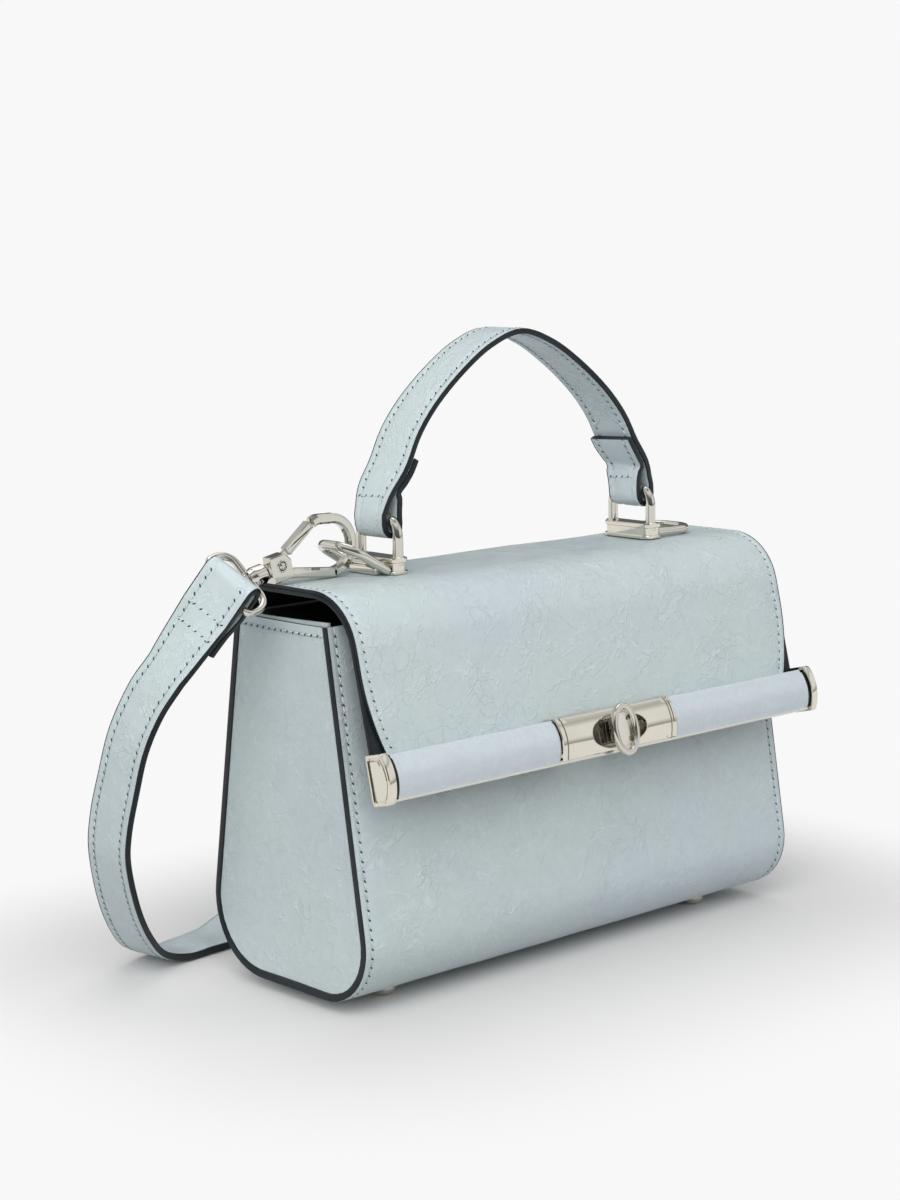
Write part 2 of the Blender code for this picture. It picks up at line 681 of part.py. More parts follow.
def make_bar():
    shoulder = BAR_HALF_LENGTH - CAP_LENGTH - FIT
    under_sleeve = SLEEVE_INSET + SLEEVE_THICKNESS + FIT
    lip = [p for p in bar_outline(SLEEVE_INSET)[1:-1] if p[1] < LIP_HEIGHT]
    front = [p for p in bar_outline(under_sleeve)[1:-1] if p[1] > LIP_HEIGHT]
    back = 0.0002
    groove = (BAR_BACK - FLAP_COVER - FIT, BAR_BACK + FIT)
    top = BAR_HEIGHT - under_sleeve
    floor = BAR_HEIGHT - CLAMP_DEPTH - FIT
    outline = [(back, SLEEVE_INSET)] + lip + [(lip[-1][0] + 0.0001, LIP_HEIGHT)]
    outline += [(front[0][0], LIP_HEIGHT)] + front
    outline += [(groove[1], top), (groove[1], floor), (groove[0], floor), (groove[0], top)]
    outline += [(back, top)]
    core = bar_prism(outline, -shoulder, shoulder)
    tenon_reach = BAR_HALF_LENGTH - CAP_END - FIT
    tenon = bar_outline(CAP_WALL + FIT + groove[1])
    core = join(core, bar_prism(tenon, -tenon_reach, tenon_reach))
    pocket = prism(stadium(WINDOW_LENGTH - FIT, WINDOW_HEIGHT - FIT), POCKET_FLOOR, 0.02, LOCK_FRAME)
    bore = cylinder(SHAFT_RADIUS + RUN, -0.001, 0.02, LOCK_FRAME)
    finish(cut(core, pocket, bore), "bar_core", "metal")

    inner = PLATE_HALF_LENGTH + FIT
    band = bar_band(SLEEVE_INSET, SLEEVE_THICKNESS)
    finish(bar_prism(band, -shoulder, -inner), "bar_sleeve_left", "leather")
    finish(bar_prism(band, inner, shoulder), "bar_sleeve_right", "leather")

    plate = bar_prism(bar_band(PLATE_INSET, PLATE_THICKNESS), -PLATE_HALF_LENGTH, PLATE_HALF_LENGTH)
    ribs = []
    for side in (-1, 1):
        near = side * (PLATE_HALF_LENGTH - RIB_FROM_END)
        low, high = sorted((near, near - side * RIB_WIDTH))
        rib = bar_band(PLATE_INSET - RIB_PROUD, RIB_PROUD + PLATE_THICKNESS / 2, 0.0003)
        ribs.append(bar_prism(rib, low, high))
    plate = join(plate, *ribs)
    window = prism(stadium(WINDOW_LENGTH, WINDOW_HEIGHT), 0.004, 0.02, LOCK_FRAME)
    finish(cut(plate, window), "lock_plate", "metal")

    for side, name in ((-1, "end_cap_left"), (1, "end_cap_right")):
        ends = sorted((side * (BAR_HALF_LENGTH - CAP_LENGTH), side * BAR_HALF_LENGTH))
        cap = bar_prism(bar_outline(0), *ends)
        depth = BAR_HALF_LENGTH - CAP_END
        room = bar_prism(bar_outline(CAP_WALL), *sorted((side * depth, side * (depth - 0.01))))
        finish(cut(cap, room), name, "metal")


def make_lock():
    length, height = LOCK_BODY_LENGTH / 2, LOCK_BODY_HEIGHT / 2
    block = box((-length, -height, POCKET_FLOOR + FIT), (length, height, LOCK_BODY_TOP), LOCK_FRAME)
    slits = []
    for side in (-1, 1):
        for place in (0.0032, 0.0052):
            low, high = sorted((side * place, side * (place + 0.0009)))
            slits.append(box((low, -height + 0.001, 0.0062), (high, height - 0.001, 0.02), LOCK_FRAME))
    bore = cylinder(SHAFT_RADIUS + RUN, -0.001, 0.02, LOCK_FRAME)
    finish(cut(block, bore, *slits), "lock_body", "metal")

    wide, tall = (KNOB_WIDTH - KNOB_WIRE) / 2, (KNOB_HEIGHT - KNOB_WIRE) / 2
    count = 28
    angles = [math.tau * i / count for i in range(count)]
    loop = [(wide * math.cos(a), tall * math.sin(a), KNOB_U) for a in angles]
    ring = wire(loop, KNOB_WIRE, closed=True, resolution=3, placing=LOCK_FRAME)
    bridge_top = KNOB_U - KNOB_WIRE * 0.15
    bridge = box((-wide, -0.0018, bridge_top - 0.0012), (wide, 0.0018, bridge_top), LOCK_FRAME)
    shaft = cylinder(SHAFT_RADIUS, CAM_FRONT + FIT, bridge_top - 0.0004, LOCK_FRAME)
    finish(join(ring, bridge, shaft), "lock_knob", "metal")

    cam = box(
        (-CAM_WIDTH / 2, -CAM_LENGTH / 2, CAM_BACK),
        (CAM_WIDTH / 2, CAM_LENGTH / 2, CAM_FRONT),
        LOCK_FRAME,
    )
    finish(cam, "lock_cam", "steel")


# Handle brackets
BASE_TOP = FLAP_TOP_Z + FIT + BASE_HEIGHT
STAPLE_Z = BASE_TOP + STAPLE_HEIGHT - STAPLE_WIRE / 2
RING_Z = FLAP_TOP_Z + FIT * 2 + RING_WIRE / 2


def screw_places():
    return [
        Vector((side * BRACKET_X, BRACKET_Y + end * SCREW_SPACING / 2, 0))
        for side in (-1, 1)
        for end in (-1, 1)
    ]


def screw_cuts():
    return [
        cylinder(SCREW_RADIUS + FIT, FLAP_TOP_Z - 0.006, FLAP_TOP_Z + 0.001, Matrix.Translation(p))
        for p in screw_places()
    ]


def ring_frame(side, lift_deg):
    """A ring's frame: x points out along the ring, y is its pin, and the origin is on the pin."""
    lift = math.radians(lift_deg)
    out = Vector((side * math.cos(lift), 0, math.sin(lift)))
    return frame(Vector((side * RING_PIN_X, BRACKET_Y, RING_Z)), out, Y)


def make_bracket(side, word):
    middle = Vector((side * BRACKET_X, BRACKET_Y, 0))
    placing = Matrix.Translation(middle)
    bottom = FLAP_TOP_Z + FIT
    base = prism(round_rectangle(BASE_WIDTH, BASE_LENGTH, 0.0016), bottom, BASE_TOP, placing)
    ring_r = RING_WIRE / 2
    lug_reach = RING_PIN_X - BRACKET_X + ring_r + LUG_WALL
    lug_ends = sorted((0, side * lug_reach))
    lug_top = RING_Z + ring_r + LUG_WALL
    lug = box(
        (lug_ends[0], -LUG_LENGTH / 2, bottom), (lug_ends[1], LUG_LENGTH / 2, lug_top), placing
    )
    base = join(base, lug)
    tools = []
    for end in (-1, 1):
        hole = Matrix.Translation(middle + Vector((0, end * STAPLE_SPAN / 2, 0)))
        tools.append(cylinder(STAPLE_WIRE / 2 + FIT, BASE_TOP - STAPLE_SEAT - FIT, STAPLE_Z, hole))
        screw = Matrix.Translation(middle + Vector((0, end * SCREW_SPACING / 2, 0)))
        tools.append(cylinder(SCREW_RADIUS + FIT, bottom - 0.03, BASE_TOP - 0.0016, screw, sides=12))
        long_side = end * (BASE_WIDTH / 2)
        edges = sorted((long_side - end * GROOVE, long_side + end * 0.001))
        if end != side:
            tools.append(
                box(
                    (edges[0], -BASE_LENGTH / 2 + 0.002, bottom + 0.0014),
                    (edges[1], BASE_LENGTH / 2 - 0.002, BASE_TOP - 0.0014),
                    placing,
                )
            )
    pin_line = frame(Vector((side * RING_PIN_X, BRACKET_Y, RING_Z)), Z, X)
    tools.append(cylinder(ring_r + RUN, -LUG_LENGTH, LUG_LENGTH, pin_line))
    finish(cut(base, *tools), f"bracket_base_{word}", "metal")

    leg_y = STAPLE_SPAN / 2
    low = BASE_TOP - STAPLE_SEAT
    corner = STAPLE_CORNER
    arch = [(-leg_y, low)]
    arch += arc((-leg_y + corner, STAPLE_Z - corner), corner, 180, 90, 6)
    arch += arc((leg_y - corner, STAPLE_Z - corner), corner, 90, 0, 6)
    arch += [(leg_y, low)]
    points = [(middle.x, middle.y + y, z) for y, z in arch]
    finish(wire(points, STAPLE_WIRE, resolution=3), f"staple_{word}", "metal")

    under = FLAP_TOP_Z - FLAP_COVER - FIT - FLAP_LINING - FIT
    plate = prism(
        round_rectangle(BASE_WIDTH, BASE_LENGTH, 0.0016), under - BACKING_THICKNESS, under, placing
    )
    plate_cuts = []
    for end in (-1, 1):
        spot = Matrix.Translation(middle + Vector((0, end * SCREW_SPACING / 2, 0)))
        plate_cuts.append(cylinder(SCREW_RADIUS + FIT, under - 0.03, BASE_TOP, spot, sides=12))
        head_top = under - BACKING_THICKNESS - FIT
        shank_top = BASE_TOP - 0.0016 - FIT
        profile = [
            (0.0, shank_top),
            (SCREW_RADIUS, shank_top),
            (SCREW_RADIUS, head_top),
            (SCREW_HEAD_RADIUS, head_top),
            (SCREW_HEAD_RADIUS, head_top - SCREW_HEAD),
            (0.0, head_top - SCREW_HEAD),
        ]
        end_word = "front" if end < 0 else "back"
        finish(turned(profile, spot, 12), f"bracket_screw_{word}_{end_word}", "steel")
    finish(cut(plate, *plate_cuts), f"backing_plate_{word}", "steel")

    lift = LEFT_RING_LIFT_DEG if side < 0 else 0
    length, width = RING_REACH - RING_WIRE / 2, RING_WIDTH - RING_WIRE
    outline = [(0, -width / 2)]
    outline += arc((length - RING_CORNER, -width / 2 + RING_CORNER), RING_CORNER, -90, 0, 6)
    outline += arc((length - RING_CORNER, width / 2 - RING_CORNER), RING_CORNER, 0, 90, 6)
    outline += [(0, width / 2)]
    points = [(a, b, 0) for a, b in outline]
    ring = wire(points, RING_WIRE, closed=True, resolution=3, placing=ring_frame(side, lift))
    finish(ring, f"ring_{word}", "metal")


# Ribbons
def curve_point(p0, p1, p2, p3, t):
    """A point of the smooth curve that runs from p1 to p2."""
    linear = (p2 - p0) * t
    square = (p0 * 2 - p1 * 5 + p2 * 4 - p3) * t * t
    cube = (p1 * 3 - p0 - p2 * 3 + p3) * t**3
    return (p1 * 2 + linear + square + cube) / 2


def smooth_line(controls, step):
    """Points at an even spacing on a smooth curve through the controls."""
    ends = [controls[0] * 2 - controls[1]] + controls + [controls[-1] * 2 - controls[-2]]
    dense = []
    for p0, p1, p2, p3 in zip(ends, ends[1:], ends[2:], ends[3:]):
        dense += [curve_point(p0, p1, p2, p3, i / 16) for i in range(16)]
    dense.append(controls[-1])
    return respaced(dense, step)


def respaced(line, step):
    """A line's points again, at an even spacing."""
    lengths = [0.0]
    for a, b in zip(line, line[1:]):
        lengths.append(lengths[-1] + (b - a).length)
    count = max(2, round(lengths[-1] / step))
    made, i = [], 0
    for k in range(count + 1):
        at = lengths[-1] * k / count
        while i < len(line) - 2 and lengths[i + 1] < at:
            i += 1
        span = lengths[i + 1] - lengths[i]
        made.append(line[i].lerp(line[i + 1], (at - lengths[i]) / span if span else 0))
    return made


def ribbon(centres, sides, widths, thickness):
    """A flat band: its middle line, the direction of its width at each point, and its widths."""
    mesh = bpy.data.meshes.new("ribbon")
    work = bmesh.new()
    rings = []
    count = len(centres)
    for i, centre in enumerate(centres):
        ahead = centres[min(i + 1, count - 1)] - centres[max(i - 1, 0)]
        side = sides[i].normalized()
        face = ahead.cross(side).normalized()
        side = face.cross(ahead).normalized() * widths[i] / 2
        face = face * thickness / 2
        corners = (side + face, -side + face, -side - face, side - face)
        rings.append([work.verts.new(centre + corner) for corner in corners])
    for ring, after in zip(rings, rings[1:]):
        for k in range(4):
            work.faces.new((ring[k], ring[(k + 1) % 4], after[(k + 1) % 4], after[k]))
    work.faces.new(rings[0][::-1])
    work.faces.new(rings[-1])
    bmesh.ops.recalc_face_normals(work, faces=work.faces)
    work.to_mesh(mesh)
    work.free()
    obj = bpy.data.objects.new("ribbon", mesh)
    bpy.context.scene.collection.objects.link(obj)
    return obj


HANDLE_DROPS = [(0.0, 0.0), (0.0146, 0.0041), (0.0284, 0.0123), (0.0413, 0.0226), (0.0501, 0.0325)]
LOOP_RADIUS = STAPLE_WIRE / 2 + FIT * 2 + HANDLE_THICKNESS / 2


def handle_outer():
    """The outer layer's middle line, from the left loop's outer side over to the right one's."""
    top = HANDLE_TOP_Z - HANDLE_THICKNESS / 2
    right = [Vector((x, 0, top - drop)) for x, drop in HANDLE_DROPS]
    right.append(Vector((0.0560, 0, top - 0.0428)))
    right.append(Vector((BRACKET_X + 0.0003, 0, STAPLE_Z + 0.0083)))
    right.append(Vector((BRACKET_X + LOOP_RADIUS, 0, STAPLE_Z + 0.0005)))
    left = [Vector((-place.x, 0, place.z)) for place in right[1:]]
    return left[::-1] + right


def handle_end(outer):
    """The right loop and its tab, which lies under the outer layer, in order from the outer layer."""
    fold = arc((BRACKET_X, STAPLE_Z - HANDLE_SLACK), LOOP_RADIUS, 0, -180, 8)
    crotch = [(BRACKET_X - LOOP_RADIUS, STAPLE_Z + 0.0005), (BRACKET_X - 0.0034, STAPLE_Z + 0.0055)]
    apart = HANDLE_THICKNESS + FIT
    right = [place for place in outer if place.x > 0]
    start = next(i for i, place in enumerate(right) if place.z < STAPLE_Z + 0.0110)
    tab, run = [], 0.0
    for i in range(start, 0, -1):
        along = (right[i - 1] - right[i + 1]).normalized()
        run += (right[i] - right[i - 1]).length
        tab.append(right[i] + Vector((-abs(along.z), 0, -abs(along.x))) * apart)
        if run > HANDLE_TAB:
            break
    turn = [Vector((x, 0, z)) for x, z in fold + crotch]
    return smooth_line(turn + tab, 0.0020)


def make_handle():
    outer = smooth_line(handle_outer(), 0.0032)
    end = handle_end(outer)
    line = [Vector((-place.x, 0, place.z)) for place in end[::-1]] + outer + end
    bottom = STAPLE_Z - HANDLE_SLACK - LOOP_RADIUS
    height = HANDLE_TOP_Z - bottom
    centres, widths = [], []
    for place in line:
        share = (place.z - bottom) / height
        centres.append(Vector((place.x, BRACKET_Y + HANDLE_LEAN * share, place.z)))
        taper = min(1.0, max(0.0, (place.z - STAPLE_Z + 0.001) / 0.016))
        taper = taper * taper * (3 - 2 * taper)
        widths.append(HANDLE_LOOP_WIDTH + (HANDLE_WIDTH - HANDLE_LOOP_WIDTH) * taper)
    band = ribbon(centres, [Y] * len(centres), widths, HANDLE_THICKNESS)
    finish(band, "handle", "leather")


# Clips, in a frame whose x runs from the eye to the hook's nose and whose z is up
COLLAR_BACK = -(HOOK_BLOCK_LENGTH / 2 + NECK_LENGTH + FIT + COLLAR_LENGTH)
EYE_BAR = COLLAR_BACK - EYE_LENGTH + EYE_WIRE / 2


def hook_line():
    """The hook's middle line, from inside its block round to its tip."""
    block_end = [(0.0030, -0.0031)]
    bend = arc(HOOK_BEND_CENTRE, HOOK_BEND_RADIUS, -101.5, 95, 12)
    return [Vector((a, 0, b)) for a, b in block_end + bend + [(0.0192, 0.0106), HOOK_TIP]]


def eye_loop():
    """The eye's middle line as (x, y), with tight corners at the strap's bar."""
    half_width = (EYE_WIDTH - EYE_WIRE) / 2
    near, far = COLLAR_BACK - EYE_WIRE / 2, EYE_BAR
    wide, tight = EYE_CORNER - EYE_WIRE / 2, EYE_BAR_CORNER - EYE_WIRE / 2
    corners = [
        (near - wide, -half_width + wide, wide, -90),
        (near - wide, half_width - wide, wide, 0),
        (far + tight, half_width - tight, tight, 90),
        (far + tight, -half_width + tight, tight, 180),
    ]
    return [p for x, y, radius, first in corners for p in arc((x, y), radius, first, first + 90, 5)]


def make_clip(word, placing, eye_roll_deg):
    half_x, half_y = HOOK_BLOCK_LENGTH / 2, HOOK_BLOCK_THICKNESS / 2
    half_z = HOOK_BLOCK_HEIGHT / 2
    across = frame(Vector((0, 0, 0)), Z, X)  # local z is the clip's y
    along = placing @ frame(Vector((0, 0, 0)), Y, Z)  # local z is the clip's x
    block = box((-half_x, -half_y, -half_z), (half_x, half_y, half_z), placing)
    rod = wire(hook_line(), HOOK_WIRE, resolution=3, placing=placing)
    head_start = COLLAR_BACK - FIT - EYE_WIRE
    neck = cylinder(NECK_RADIUS, -half_x - NECK_LENGTH, -half_x + 0.001, along, sides=20)
    stem = cylinder(STEM_RADIUS, head_start - 0.0002, -half_x, along, sides=20)
    head = cylinder(STEM_HEAD_RADIUS, head_start - STEM_HEAD_LENGTH, head_start, along, sides=20)
    hook = join(block, rod, neck, stem, head)
    room = GATE_THICKNESS / 2 + FIT
    slot = box((-half_x - 0.001, -room, -0.0012), (half_x + 0.002, room, 0.02), placing)
    pin_place = placing @ Matrix.Translation((GATE_PIVOT[0], 0, GATE_PIVOT[1])) @ across
    bore = cylinder(GATE_PIN_RADIUS + FIT, -0.01, 0.01, pin_place)
    finish(cut(hook, slot, bore), f"hook_{word}", "metal")

    angle = math.atan2(GATE_TIP[1] - GATE_PIVOT[1], GATE_TIP[0] - GATE_PIVOT[0])
    reach = math.dist(GATE_TIP, GATE_PIVOT)
    gate_place = placing @ Matrix.Translation((GATE_PIVOT[0], 0, GATE_PIVOT[1]))
    gate_place = gate_place @ Matrix.Rotation(-angle, 4, "Y")
    thin, wide = GATE_THICKNESS / 2, HOOK_WIRE / 2
    tongue = box((-0.0022, -thin, -0.0020), (half_x + 0.0028, thin, 0.0018), gate_place)
    arm = box((half_x + 0.0020, -wide, -0.0014), (reach, wide, 0.0016), gate_place)
    hole = cylinder(GATE_PIN_RADIUS + FIT, -0.01, 0.01, pin_place)
    finish(cut(join(tongue, arm), hole), f"gate_{word}", "metal")
    pin_half = half_y + 0.0003
    finish(cylinder(GATE_PIN_RADIUS, -pin_half, pin_half, pin_place), f"gate_pin_{word}", "metal")

    front = COLLAR_BACK + COLLAR_LENGTH
    back = COLLAR_BACK - EYE_WIRE * 0.7
    profile = [(0.0, front), (COLLAR_RADIUS * 0.88, front), (COLLAR_RADIUS, front - 0.0006)]
    profile += [(COLLAR_RADIUS, COLLAR_BACK + 0.0006), (COLLAR_RADIUS * 0.85, back), (0.0, back)]
    roll = placing @ Matrix.Rotation(math.radians(eye_roll_deg), 4, "X")
    loop = [(a, b, 0) for a, b in eye_loop()]
    eye = wire(loop, EYE_WIRE, closed=True, resolution=3, placing=roll)
    bore = cylinder(STEM_RADIUS + FIT, -0.03, 0.0, along)
    pocket = cylinder(STEM_HEAD_RADIUS + FIT, -0.019, head_start + FIT, along)
    eye = cut(join(turned(profile, along, 20), eye), bore, pocket)
    finish(eye, f"swivel_eye_{word}", "metal")


def left_clip_frame():
    tilt = math.radians(CLIP_TILT_DEG)
    place = Vector((*CLIP_PLACE, FLAP_TOP_Z + CLIP_RISE))
    return frame(place, Vector((math.cos(tilt), 0, math.sin(tilt))), Y)


def free_clip_frame():
    """The free clip lies behind the bag with its eye on edge in the strap's end."""
    turn, droop = math.radians(FREE_END_DEG), math.radians(FREE_CLIP_DROOP_DEG)
    out = Vector((math.cos(turn) * math.cos(droop), math.sin(turn) * math.cos(droop), -math.sin(droop)))
    bar = Vector((*FREE_END, FLOOR_Z + EYE_WIDTH / 2 + 0.0010))
    return frame(bar - out * EYE_BAR, out, Z.cross(out))


# Shoulder strap. A station is a point of its middle line with the direction of its width there.
# The drop's heights are shares of the eye's height above the floor.
STRAP_DROP = [
    ((-0.1423, 0.0123, 0.81972), (-0.02, 0.96, 0.28)),
    ((-0.1465, 0.0184, 0.74635), (-0.03, 0.96, 0.26)),
    ((-0.1496, 0.0244, 0.65041), (-0.04, 0.97, 0.24)),
    ((-0.1497, 0.0309, 0.54107), (-0.06, 0.97, 0.21)),
    ((-0.1488, 0.0374, 0.43667), (-0.08, 0.98, 0.17)),
    ((-0.1463, 0.0424, 0.34708), (-0.10, 0.98, 0.14)),
    ((-0.1380, 0.0504, 0.21727), (-0.14, 0.98, 0.10)),
    ((-0.1285, 0.0574, 0.11640), (-0.17, 0.98, 0.06)),
    ((-0.1180, 0.0634, 0.04585), (-0.19, 0.97, 0.02)),
]


def strap_on_floor():
    """Stations from where the strap meets the floor until it stands on its edge at the roll."""
    stations = []
    start, end = Vector(STRAP_LANDING), Vector((ROLL_CENTRE[0], ROLL_CENTRE[1] - ROLL_OUTER))
    for i in range(9):
        share = i / 9
        turn = min(1.0, max(0.0, (share - 0.15) / 0.7))
        turn = math.radians(90) * turn * turn * (3 - 2 * turn)
        flat = Vector((-0.17 * (1 - share), 0.98, 0)).normalized()
        side = flat * math.cos(turn) + Z * math.sin(turn)
        height = (STRAP_WIDTH * math.sin(turn) + STRAP_THICKNESS * math.cos(turn)) / 2
        place = start.lerp(end, share)
        bow = 0.0020 * math.sin(math.pi * share)
        stations.append((Vector((place.x, place.y + bow, FLOOR_Z + height + 2 * FIT)), side))
    return stations


def strap_roll():
    """The middle line of the roll: in along one arm, an S at its centre and out along the other."""
    turns = (ROLL_OUTER - ROLL_INNER) / ROLL_PITCH
    arm, turned_by = [], 0.0
    while turned_by < turns:
        radius = ROLL_OUTER - ROLL_PITCH * turned_by
        angle = math.tau * turned_by - math.pi / 2
        arm.append((radius * math.cos(angle), radius * math.sin(angle)))
        turned_by += STRAP_STEP / (math.tau * radius)
    last = math.tau * turns - math.pi / 2
    half = ROLL_INNER / 2
    centre = (half * math.cos(last), half * math.sin(last))
    arm += arc(centre, half, math.degrees(last), math.degrees(last) + 180, 6)[:-1]
    flat = arm + [(0.0, 0.0)] + [(-a, -b) for a, b in arm[::-1]]
    z = FLOOR_Z + STRAP_WIDTH / 2 + FIT
    return [(Vector((ROLL_CENTRE[0] + a, ROLL_CENTRE[1] + b, z)), Z) for a, b in flat]


def strap_loop(bar, outward, forward, width_line, main, hang=0.0):
    """Stations of a fold round an eye's bar and of its tab, from the tab's end to the main line.

    hang is how far below the fold the bar lies on one side of the strap.
    """
    radius = EYE_WIRE / 2 + FIT + STRAP_THICKNESS / 2
    reach = EYE_WIRE * 1.5 + hang
    tab, run = [], 0.0
    for (place, side), (after, next_side) in zip(main, main[1:]):
        if run > STRAP_TAB:
            break
        normal = (after - place).cross(side).normalized()
        if normal.dot(outward) < 0:
            normal = -normal
        if run > reach - 0.0001:
            closing = min((run - reach) / 0.0080, 1.0)
            apart = radius * 2 + (STRAP_THICKNESS + FIT * 2 - radius * 2) * closing
            tab.append((place - normal * apart, side))
        run += (after - place).length
    fold = []
    for i in range(13):
        angle = math.pi * (1 - i / 12)
        spot = bar + (outward * math.cos(angle) + forward * math.sin(angle)) * radius
        fold.append((spot, width_line))
    return tab[::-1] + fold


def between(stations, count):
    """Stations with more of them on a smooth curve between each two."""
    places = [place for place, side in stations]
    sides = [side.normalized() for place, side in stations]
    made = []
    for i in range(len(stations) - 1):
        p0, p1 = places[max(i - 1, 0)], places[i]
        p2, p3 = places[i + 1], places[min(i + 2, len(places) - 1)]
        for k in range(count):
            t = k / count
            made.append((curve_point(p0, p1, p2, p3, t), sides[i].lerp(sides[i + 1], t)))
    return made + [stations[-1]]


def make_strap():
    clip = left_clip_frame()
    eye_bar = clip @ Vector((EYE_BAR, 0, 0))
    fall = eye_bar.z - FLOOR_Z
    drop = [(Vector((x, y, FLOOR_Z + h * fall)), Vector(side)) for (x, y, h), side in STRAP_DROP]
    eye_line = (clip.to_3x3() @ Matrix.Rotation(math.radians(EYE_ROLL_DEG), 3, "X")).col[1]
    radius = EYE_WIRE / 2 + FIT + STRAP_THICKNESS / 2
    outward = eye_line.cross(drop[0][0] - eye_bar).normalized()
    down = (drop[0][0] - outward * radius - eye_bar).normalized()
    outward = eye_line.cross(down).normalized()
    width_line = down.cross(outward)
    slope = -eye_line.dot(down) / eye_line.dot(width_line)
    hang = STRAP_WIDTH * slope  # from the fold down to the bar, on the strap's lower side
    bar = eye_bar - down * hang / 2 - width_line * 0.00015
    leave = bar + outward * radius
    reach = EYE_WIRE * 1.5 + hang
    head = [(leave + down * reach * share, width_line) for share in (0, 0.75, 1.5)]
    coil = strap_roll()
    free_clip = free_clip_frame()
    heading, sideways, upright = (column.normalized() for column in free_clip.to_3x3().col)
    free_bar = free_clip @ Vector((EYE_BAR, 0, 0))
    z = coil[0][0].z
    arrive = free_bar + sideways * radius
    tail = [
        (Vector((ROLL_CENTRE[0] + 0.0170, ROLL_CENTRE[1] + ROLL_OUTER + 0.0008, z)), Z),
        (arrive - heading * 0.0180 + sideways * 0.0010 - Z * 0.0012, Z),
        (arrive - heading * 0.0060, upright),
        (arrive, upright),
    ]
    first = between(head + drop + strap_on_floor() + coil[:1], 6)
    last = between(coil[-2:] + tail, 5)[5:]
    main = first[:-1] + coil + last[1:]
    start = strap_loop(bar, outward, -down, width_line, main, hang)
    end = strap_loop(free_bar, sideways, heading, upright, main[::-1])
    route = start[:-1] + main + end[:-1][::-1]
    centres = [place for place, side in route]
    sides = [side for place, side in route]
    band = ribbon(centres, sides, [STRAP_WIDTH] * len(route), STRAP_THICKNESS)
    finish(band, "shoulder_strap", "leather")


def main():
    start_scene()
    make_body()
    make_feet()
    make_keeper()
    make_flap()
    make_bar()
    make_lock()
    make_bracket(-1, "left")
    make_bracket(1, "right")
    make_handle()
    make_clip("left", left_clip_frame(), EYE_ROLL_DEG)
    make_clip("free", free_clip_frame(), 90)
    make_strap()


main()
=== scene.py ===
"""Crossbody bag in pearly blue-grey leather with polished fittings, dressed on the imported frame."""

import math

import bmesh
import bpy
from mathutils import Matrix, Vector, noise


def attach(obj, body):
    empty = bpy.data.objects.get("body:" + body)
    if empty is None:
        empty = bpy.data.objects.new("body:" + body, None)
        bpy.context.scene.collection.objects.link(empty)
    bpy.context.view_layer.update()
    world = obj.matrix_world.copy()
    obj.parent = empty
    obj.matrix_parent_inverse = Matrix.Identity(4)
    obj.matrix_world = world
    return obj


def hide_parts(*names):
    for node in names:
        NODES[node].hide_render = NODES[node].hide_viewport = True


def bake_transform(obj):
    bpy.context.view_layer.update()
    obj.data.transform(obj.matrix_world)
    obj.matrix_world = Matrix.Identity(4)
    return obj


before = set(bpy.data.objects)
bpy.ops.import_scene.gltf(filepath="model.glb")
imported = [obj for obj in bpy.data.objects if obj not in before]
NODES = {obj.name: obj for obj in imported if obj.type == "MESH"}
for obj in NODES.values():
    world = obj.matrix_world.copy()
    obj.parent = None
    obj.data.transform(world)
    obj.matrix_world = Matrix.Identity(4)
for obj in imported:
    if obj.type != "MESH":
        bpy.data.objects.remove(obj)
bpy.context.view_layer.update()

X, Y, Z = Vector((1, 0, 0)), Vector((0, 1, 0)), Vector((0, 0, 1))
FLOOR_Z = -0.004


# Materials
class Graph:
    """The nodes of a material or of the world, with short calls to add and link them."""

    def __init__(self, owner):
        owner.use_nodes = True
        self.owner = owner
        self.nodes = owner.node_tree.nodes
        self.links = owner.node_tree.links
        self.coordinates = self.add("ShaderNodeTexCoord").outputs
        self.place = self.coordinates["Object"]

    def add(self, kind, inputs=None, **settings):
        node = self.nodes.new(kind)
        for key, value in settings.items():
            setattr(node, key, value)
        for key, value in (inputs or {}).items():
            self.feed(node.inputs[key], value)
        return node

    def feed(self, socket, value):
        if isinstance(value, bpy.types.NodeSocket):
            self.links.new(value, socket)
        else:
            socket.default_value = value

    def set(self, **inputs):
        """Feed the surface shader."""
        for key, value in inputs.items():
            self.feed(self.nodes["Principled BSDF"].inputs[key.replace("_", " ")], value)

    def noise(self, scale, detail=3.0, roughness=0.5, distortion=0.0, vector=None):
        values = {"Vector": vector or self.place, "Scale": scale, "Detail": detail}
        values.update({"Roughness": roughness, "Distortion": distortion})
        return self.add("ShaderNodeTexNoise", values).outputs

    def math(self, operation, *values):
        return self.add("ShaderNodeMath", dict(enumerate(values)), operation=operation).outputs[0]

    def vector(self, operation, *values):
        node = self.add("ShaderNodeVectorMath", dict(enumerate(values)), operation=operation)
        return node.outputs["Value" if operation == "LENGTH" else "Vector"]

    def remap(self, value, low, high, to_low=0.0, to_high=1.0, smooth=True):
        kind = "SMOOTHSTEP" if smooth else "LINEAR"
        values = {"Value": value, "From Min": low, "From Max": high}
        values.update({"To Min": to_low, "To Max": to_high})
        return self.add("ShaderNodeMapRange", values, interpolation_type=kind).outputs["Result"]

    def mix(self, factor, a, b):
        return self.add("ShaderNodeMix", {0: factor, 6: a, 7: b}, data_type="RGBA").outputs[2]

    def bump(self, height, distance, strength=1.0):
        values = {"Height": height, "Distance": distance, "Strength": strength}
        return self.add("ShaderNodeBump", values).outputs["Normal"]


def colour(red, green, blue):
    """An sRGB colour of 0 to 255 as the linear colour that a socket takes."""
    def linear(value):
        value /= 255
        return value / 12.92 if value <= 0.04045 else ((value + 0.055) / 1.055) ** 2.4

    return (linear(red), linear(green), linear(blue), 1.0)


